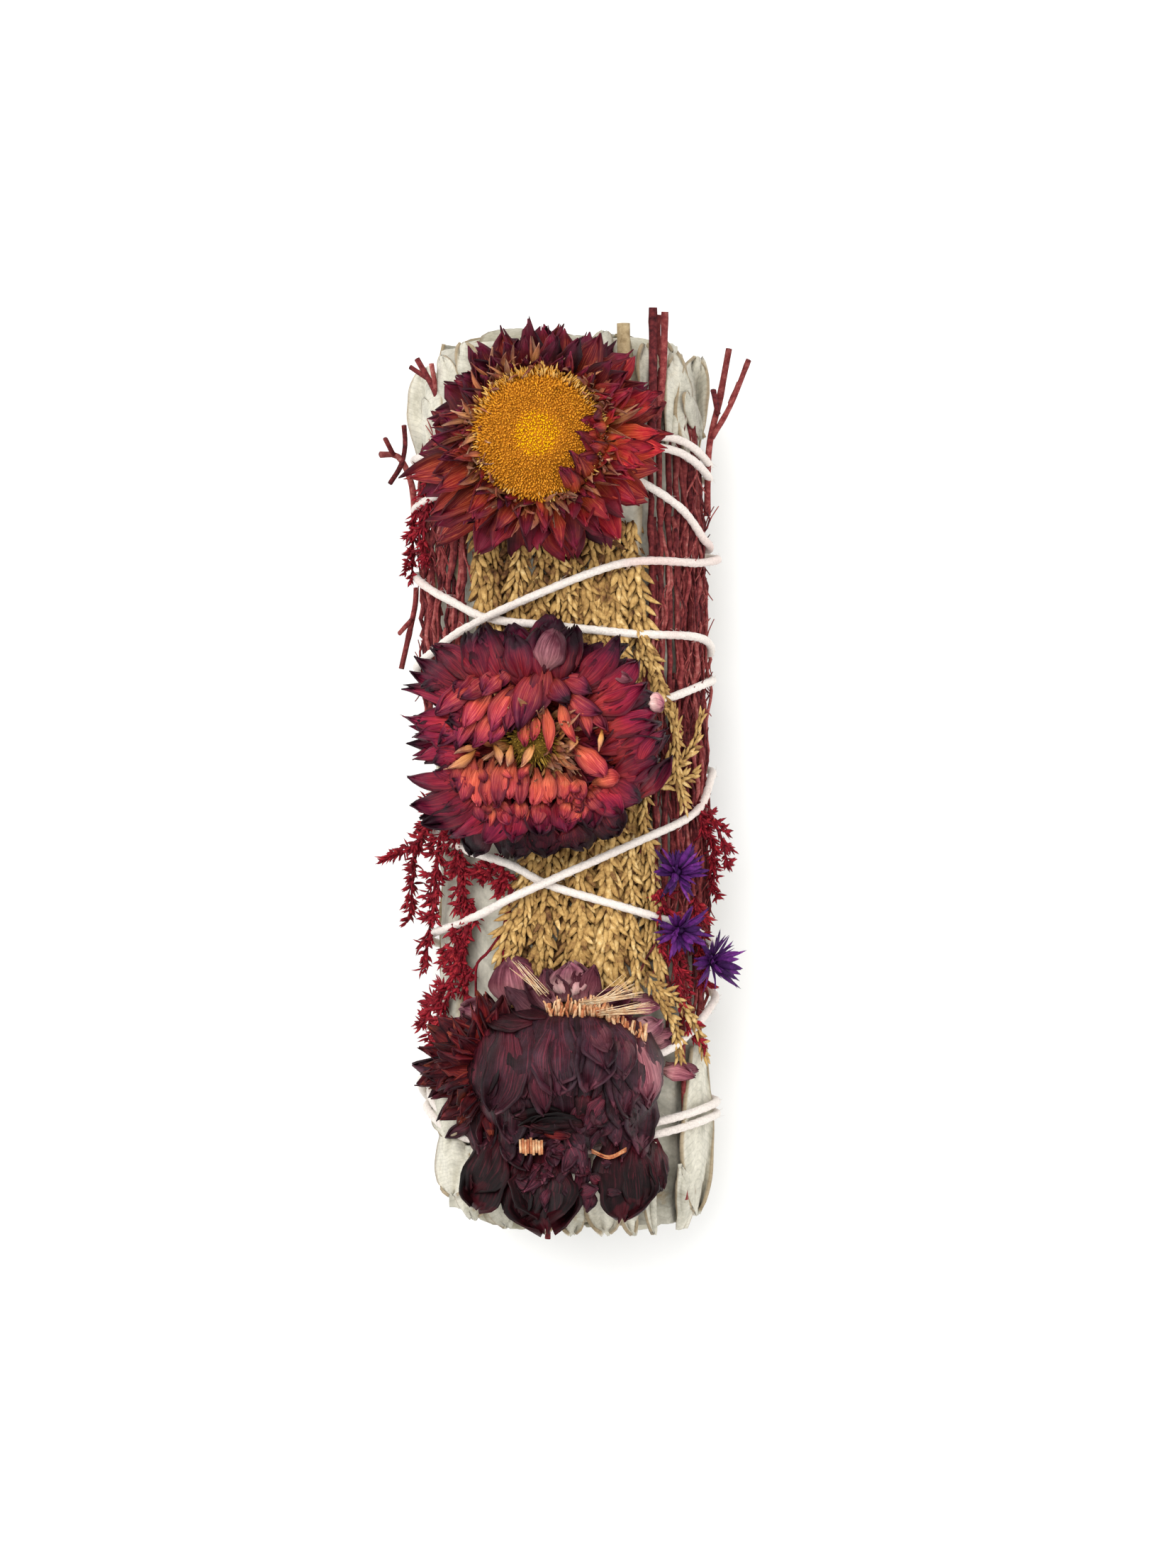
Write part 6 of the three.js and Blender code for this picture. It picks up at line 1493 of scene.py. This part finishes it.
def baseDark(rng):
    piece = {}
    for k, (angle, halfAngle, start, end, lift) in enumerate(broadBracts):
        rough = Vector((rng.uniform(0, 99), k, 0))

        def place(u, t):
            at = domeCurve[round(lerp(start, end, t) * baseFlower["domePoints"])]
            narrow = sqrt(max(0.0, 1 - max(0.0, (t - 0.72) / 0.29) ** 2))
            turn = radians(angle + u * halfAngle * narrow + 3 * noise.noise(rough + Vector((u, t * 4, 0))))
            lump = 0.5 * noise.noise(rough + Vector((u * 2.2, t * 5, 0))) + 0.4 * u * u * (t > 0.4)
            out = at.x + lift + lump - 0.4
            return Vector((baseFlower["x"] + out * sin(turn), at.y, baseFlower["axisZ"]
                           + out * cos(turn) * baseFlower["squash"]))

        addSheet(piece, 16, 26, place, rng.uniform(0.1, 0.4), rng.random())
    addShells(piece, darkShells, domeHeight, rng, domeLook, 12, 14)
    scatterShells(piece, 12, (-9, 9, -33, -29), (-105, -75), (0.7, 1.5), (5, 8), (0.7, 1.3), (0.1, 1), (0, 1),
                  domeHeight, rng, domeLook)
    scatterShells(piece, 14, (-8, 9, -41, -36), (-140, -40), (0.7, 1.4), (2.5, 5), (0.3, 1.2), (0, 0.6),
                  (0, 1), domeHeight, rng, domeLook)
    scatterShells(piece, 22, (-4.5, 4.5, -48.4, -43), (-180, 180), (0.4, 1.0), (1.4, 3.2), (0.7, 1.5),
                  (0.1, 1), (0, 0.7), domeHeight, rng, tornLook)
    # six black shells across the fold at the head's mouth: painted shadow under the overhanging bracts
    scatterShells(piece, 6, (0, 4, -41.6, -39.6), (172, 188), (0.8, 1.2), (5, 8), (1.2, 1.7), (0, 0), (1, 1),
                  domeHeight, rng, domeLook)
    finishPiece(piece, "flowerBaseDark", darkLook, ["flower_base_dark_bracts"], 0.22)


def baseHeart(rng):
    piece = {}
    heart = Matrix.Translation((0.2, -35.6, 30.4)) @ Matrix.Diagonal((8.4, 8.2, 6.4, 1))
    addTurned(piece, heart, [(cos(a), sin(a)) for a in (pi * (k / 12 - 0.5) for k in range(13))], 40, 0.1)
    finishPiece(piece, "flowerBaseHeart", darkLook, ["flower_base_dark_bracts"])


def baseRed(rng):
    piece = {}
    seat = seatOf(baseFlower["redSeat"], baseFlower["redLean"])
    for ring in redRings:
        for i in range(ring["count"]):
            azimuth = lerp(84, 276, (i + rng.random()) / ring["count"])
            spec = dict(ring, start=1, curl=4, length=ring["length"] * rng.uniform(0.7, 1.08), ragged=1,
                        wild=2, cup=0.6, blunt=0.45)
            addBract(piece, seat, azimuth, spec, rng, rng.uniform(0.05, 0.75), rng.random() ** 2)
    addTurned(piece, seat, [(0, -0.6), (2, -0.4), (2.2, 0.9), (0, 1.5)], 16, 0.1)
    addShell(piece, (-2.6, -41.2, 0.9, -41.5, 0.55, 2.1, 1, 0.3, 0.2), domeHeight, rng, domeLook)
    finishPiece(piece, "flowerBaseRed", redSideLook, ["flower_base_red_bracts"], 0.16)


def baseMauve(rng):
    piece = {}
    seat = seatOf(baseFlower["rimSeat"], (0, 0, 0))
    for i in range(10):
        azimuth = lerp(8, 172, (i + rng.uniform(0.2, 0.8)) / 10)
        stretch = 1.05 + 0.45 * abs(cos(radians(azimuth)))
        spec = {"start": 4, "height": 0.6, "pitch": 6, "curl": 12, "length": 3.9 * stretch, "width": 2.6,
                "blunt": 0.4, "ragged": 1, "wild": 1.6}
        addBract(piece, seat, azimuth, spec, rng, rng.uniform(0.0, 0.4), 0.0)
    addShells(piece, rimShells, domeHeight, rng, petalLook)
    addShells(piece, mauveShells, bedHeight, rng, petalLook)
    finishPiece(piece, "flowerBaseMauve", mauveLook, ["flower_base_mauve_bracts"], 0.18)


# The torn receptacle: short fluff on its rim, long bristles, and two rows of fibres across a tear
def baseReceptacle(rng):
    pick = rng.uniform
    piece = {}
    for _ in range(baseFlower["fluff"]):
        x = pick(-1.9, 9.4)
        y = lerp(-27.2, -30.4, smoothstep(x, 3.6, 9)) + pick(-0.9, 0.5)
        z = 34.6 - 0.16 * max(0, x - 4) ** 1.6 + pick(-0.5, 0.6)
        lean = pick(-0.25, 0.25)
        points = [Vector((x, y - 0.6, z - 0.5)), Vector((x + lean, y + 0.4, z)),
                  Vector((x + 2 * lean, y + pick(0.5, 1.3), z))]
        thick = pick(0.1, 0.26)
        addTube(piece, smoothLine(points, 5), lambda t, turn: thick * (1 - 0.3 * t), 6, pick(0.05, 0.8))
    for (fromX, fromY), (toX, toY), count in bristles:
        for _ in range(count):
            root = Vector((fromX + pick(-0.7, 0.7), fromY + pick(-0.3, 0.3),
                           34.9 + pick(-0.2, 0.5)))
            tip = Vector((toX + pick(-1, 1), toY + pick(-0.7, 0.7),
                          34.4 + pick(-0.5, 1)))
            addStraw(piece, root, Vector((0, 0, 0.4)), tip, 0.06, 0.6, 6, 4, pick(0.8, 1))
    for i in range(baseFlower["tearFibres"]):
        x = -5 + 0.31 * i
        top = Vector((x, -42 + pick(-0.15, 0.2), domeHeight(x, -42) + 2.1))
        low = Vector((x + pick(-0.1, 0.1), -43.8 + pick(-0.3, 0.3), domeHeight(x, -43.8) + 1.9))
        addStraw(piece, top, Vector(), low, 0.16, 0, 5, 6, pick(0.1, 0.7))
    for _ in range(baseFlower["crossFibres"]):
        root = Vector((3.2, -43.4 + pick(-0.2, 0.2), domeHeight(3.2, -43.4) + 1.4))
        tip = Vector((7.2, -43.4 + pick(-0.3, 0.3), domeHeight(7.2, -43.4) + 1.4))
        addStraw(piece, root, Vector((0, -0.8, 0.3)), tip, 0.07, 0, 8, 4, pick(0.0, 0.3))
    finishPiece(piece, "flowerBaseReceptacle", tornTan, ["flower_base_receptacle"])


baseRng = random.Random(81)
for makePart in (baseDark, baseHeart, baseRed, baseMauve, baseReceptacle):
    makePart(baseRng)


# Floor, light and view
stageSet = {"floor": "#f6f6f5", "floorSize": 3000, "sky": 0.9, "key": 6.0, "keySize": 620,
            "keyPlace": (-230, 270, 740), "fill": 1.6, "fillSize": 400, "fillPlace": (480, -300, 500)}

floorMesh = bpy.data.meshes.new("whitePaper")
floorBm = bmesh.new()
bmesh.ops.create_grid(floorBm, x_segments=1, y_segments=1, size=stageSet["floorSize"] * mm / 2)
floorBm.to_mesh(floorMesh)
floorBm.free()
paper, paperTree = newMaterial("whitePaper", {"Roughness": 0.9, "Base Color": colour(stageSet["floor"])})
closeMaterial(paper, None, 0.1, 0.0001, noisy(paperTree, objectPlace(paperTree), 400, 4))
floorMesh.materials.append(paper)
floorObject = bpy.data.objects.new("whitePaper", floorMesh)
bpy.context.scene.collection.objects.link(floorObject)

world = bpy.data.worlds.new("whiteRoom")
world.use_nodes = True
sky = world.node_tree.nodes["Background"].inputs
sky["Color"].default_value = (1.0, 1.0, 1.0, 1.0)
sky["Strength"].default_value = stageSet["sky"]
bpy.context.scene.world = world


def addLight(name, place, size, power):
    data = bpy.data.lights.new(name, "AREA")
    data.size = size * mm
    data.energy = power
    light = bpy.data.objects.new(name, data)
    light.location = Vector(place) * mm
    light.rotation_euler = (Vector((0, 0, 0)) - light.location).to_track_quat("-Z", "Y").to_euler()
    bpy.context.scene.collection.objects.link(light)


addLight("window", stageSet["keyPlace"], stageSet["keySize"], stageSet["key"])
addLight("reflector", stageSet["fillPlace"], stageSet["fillSize"], stageSet["fill"])
bpy.context.scene.view_settings.view_transform = "Standard"
print("floor and lights ready")
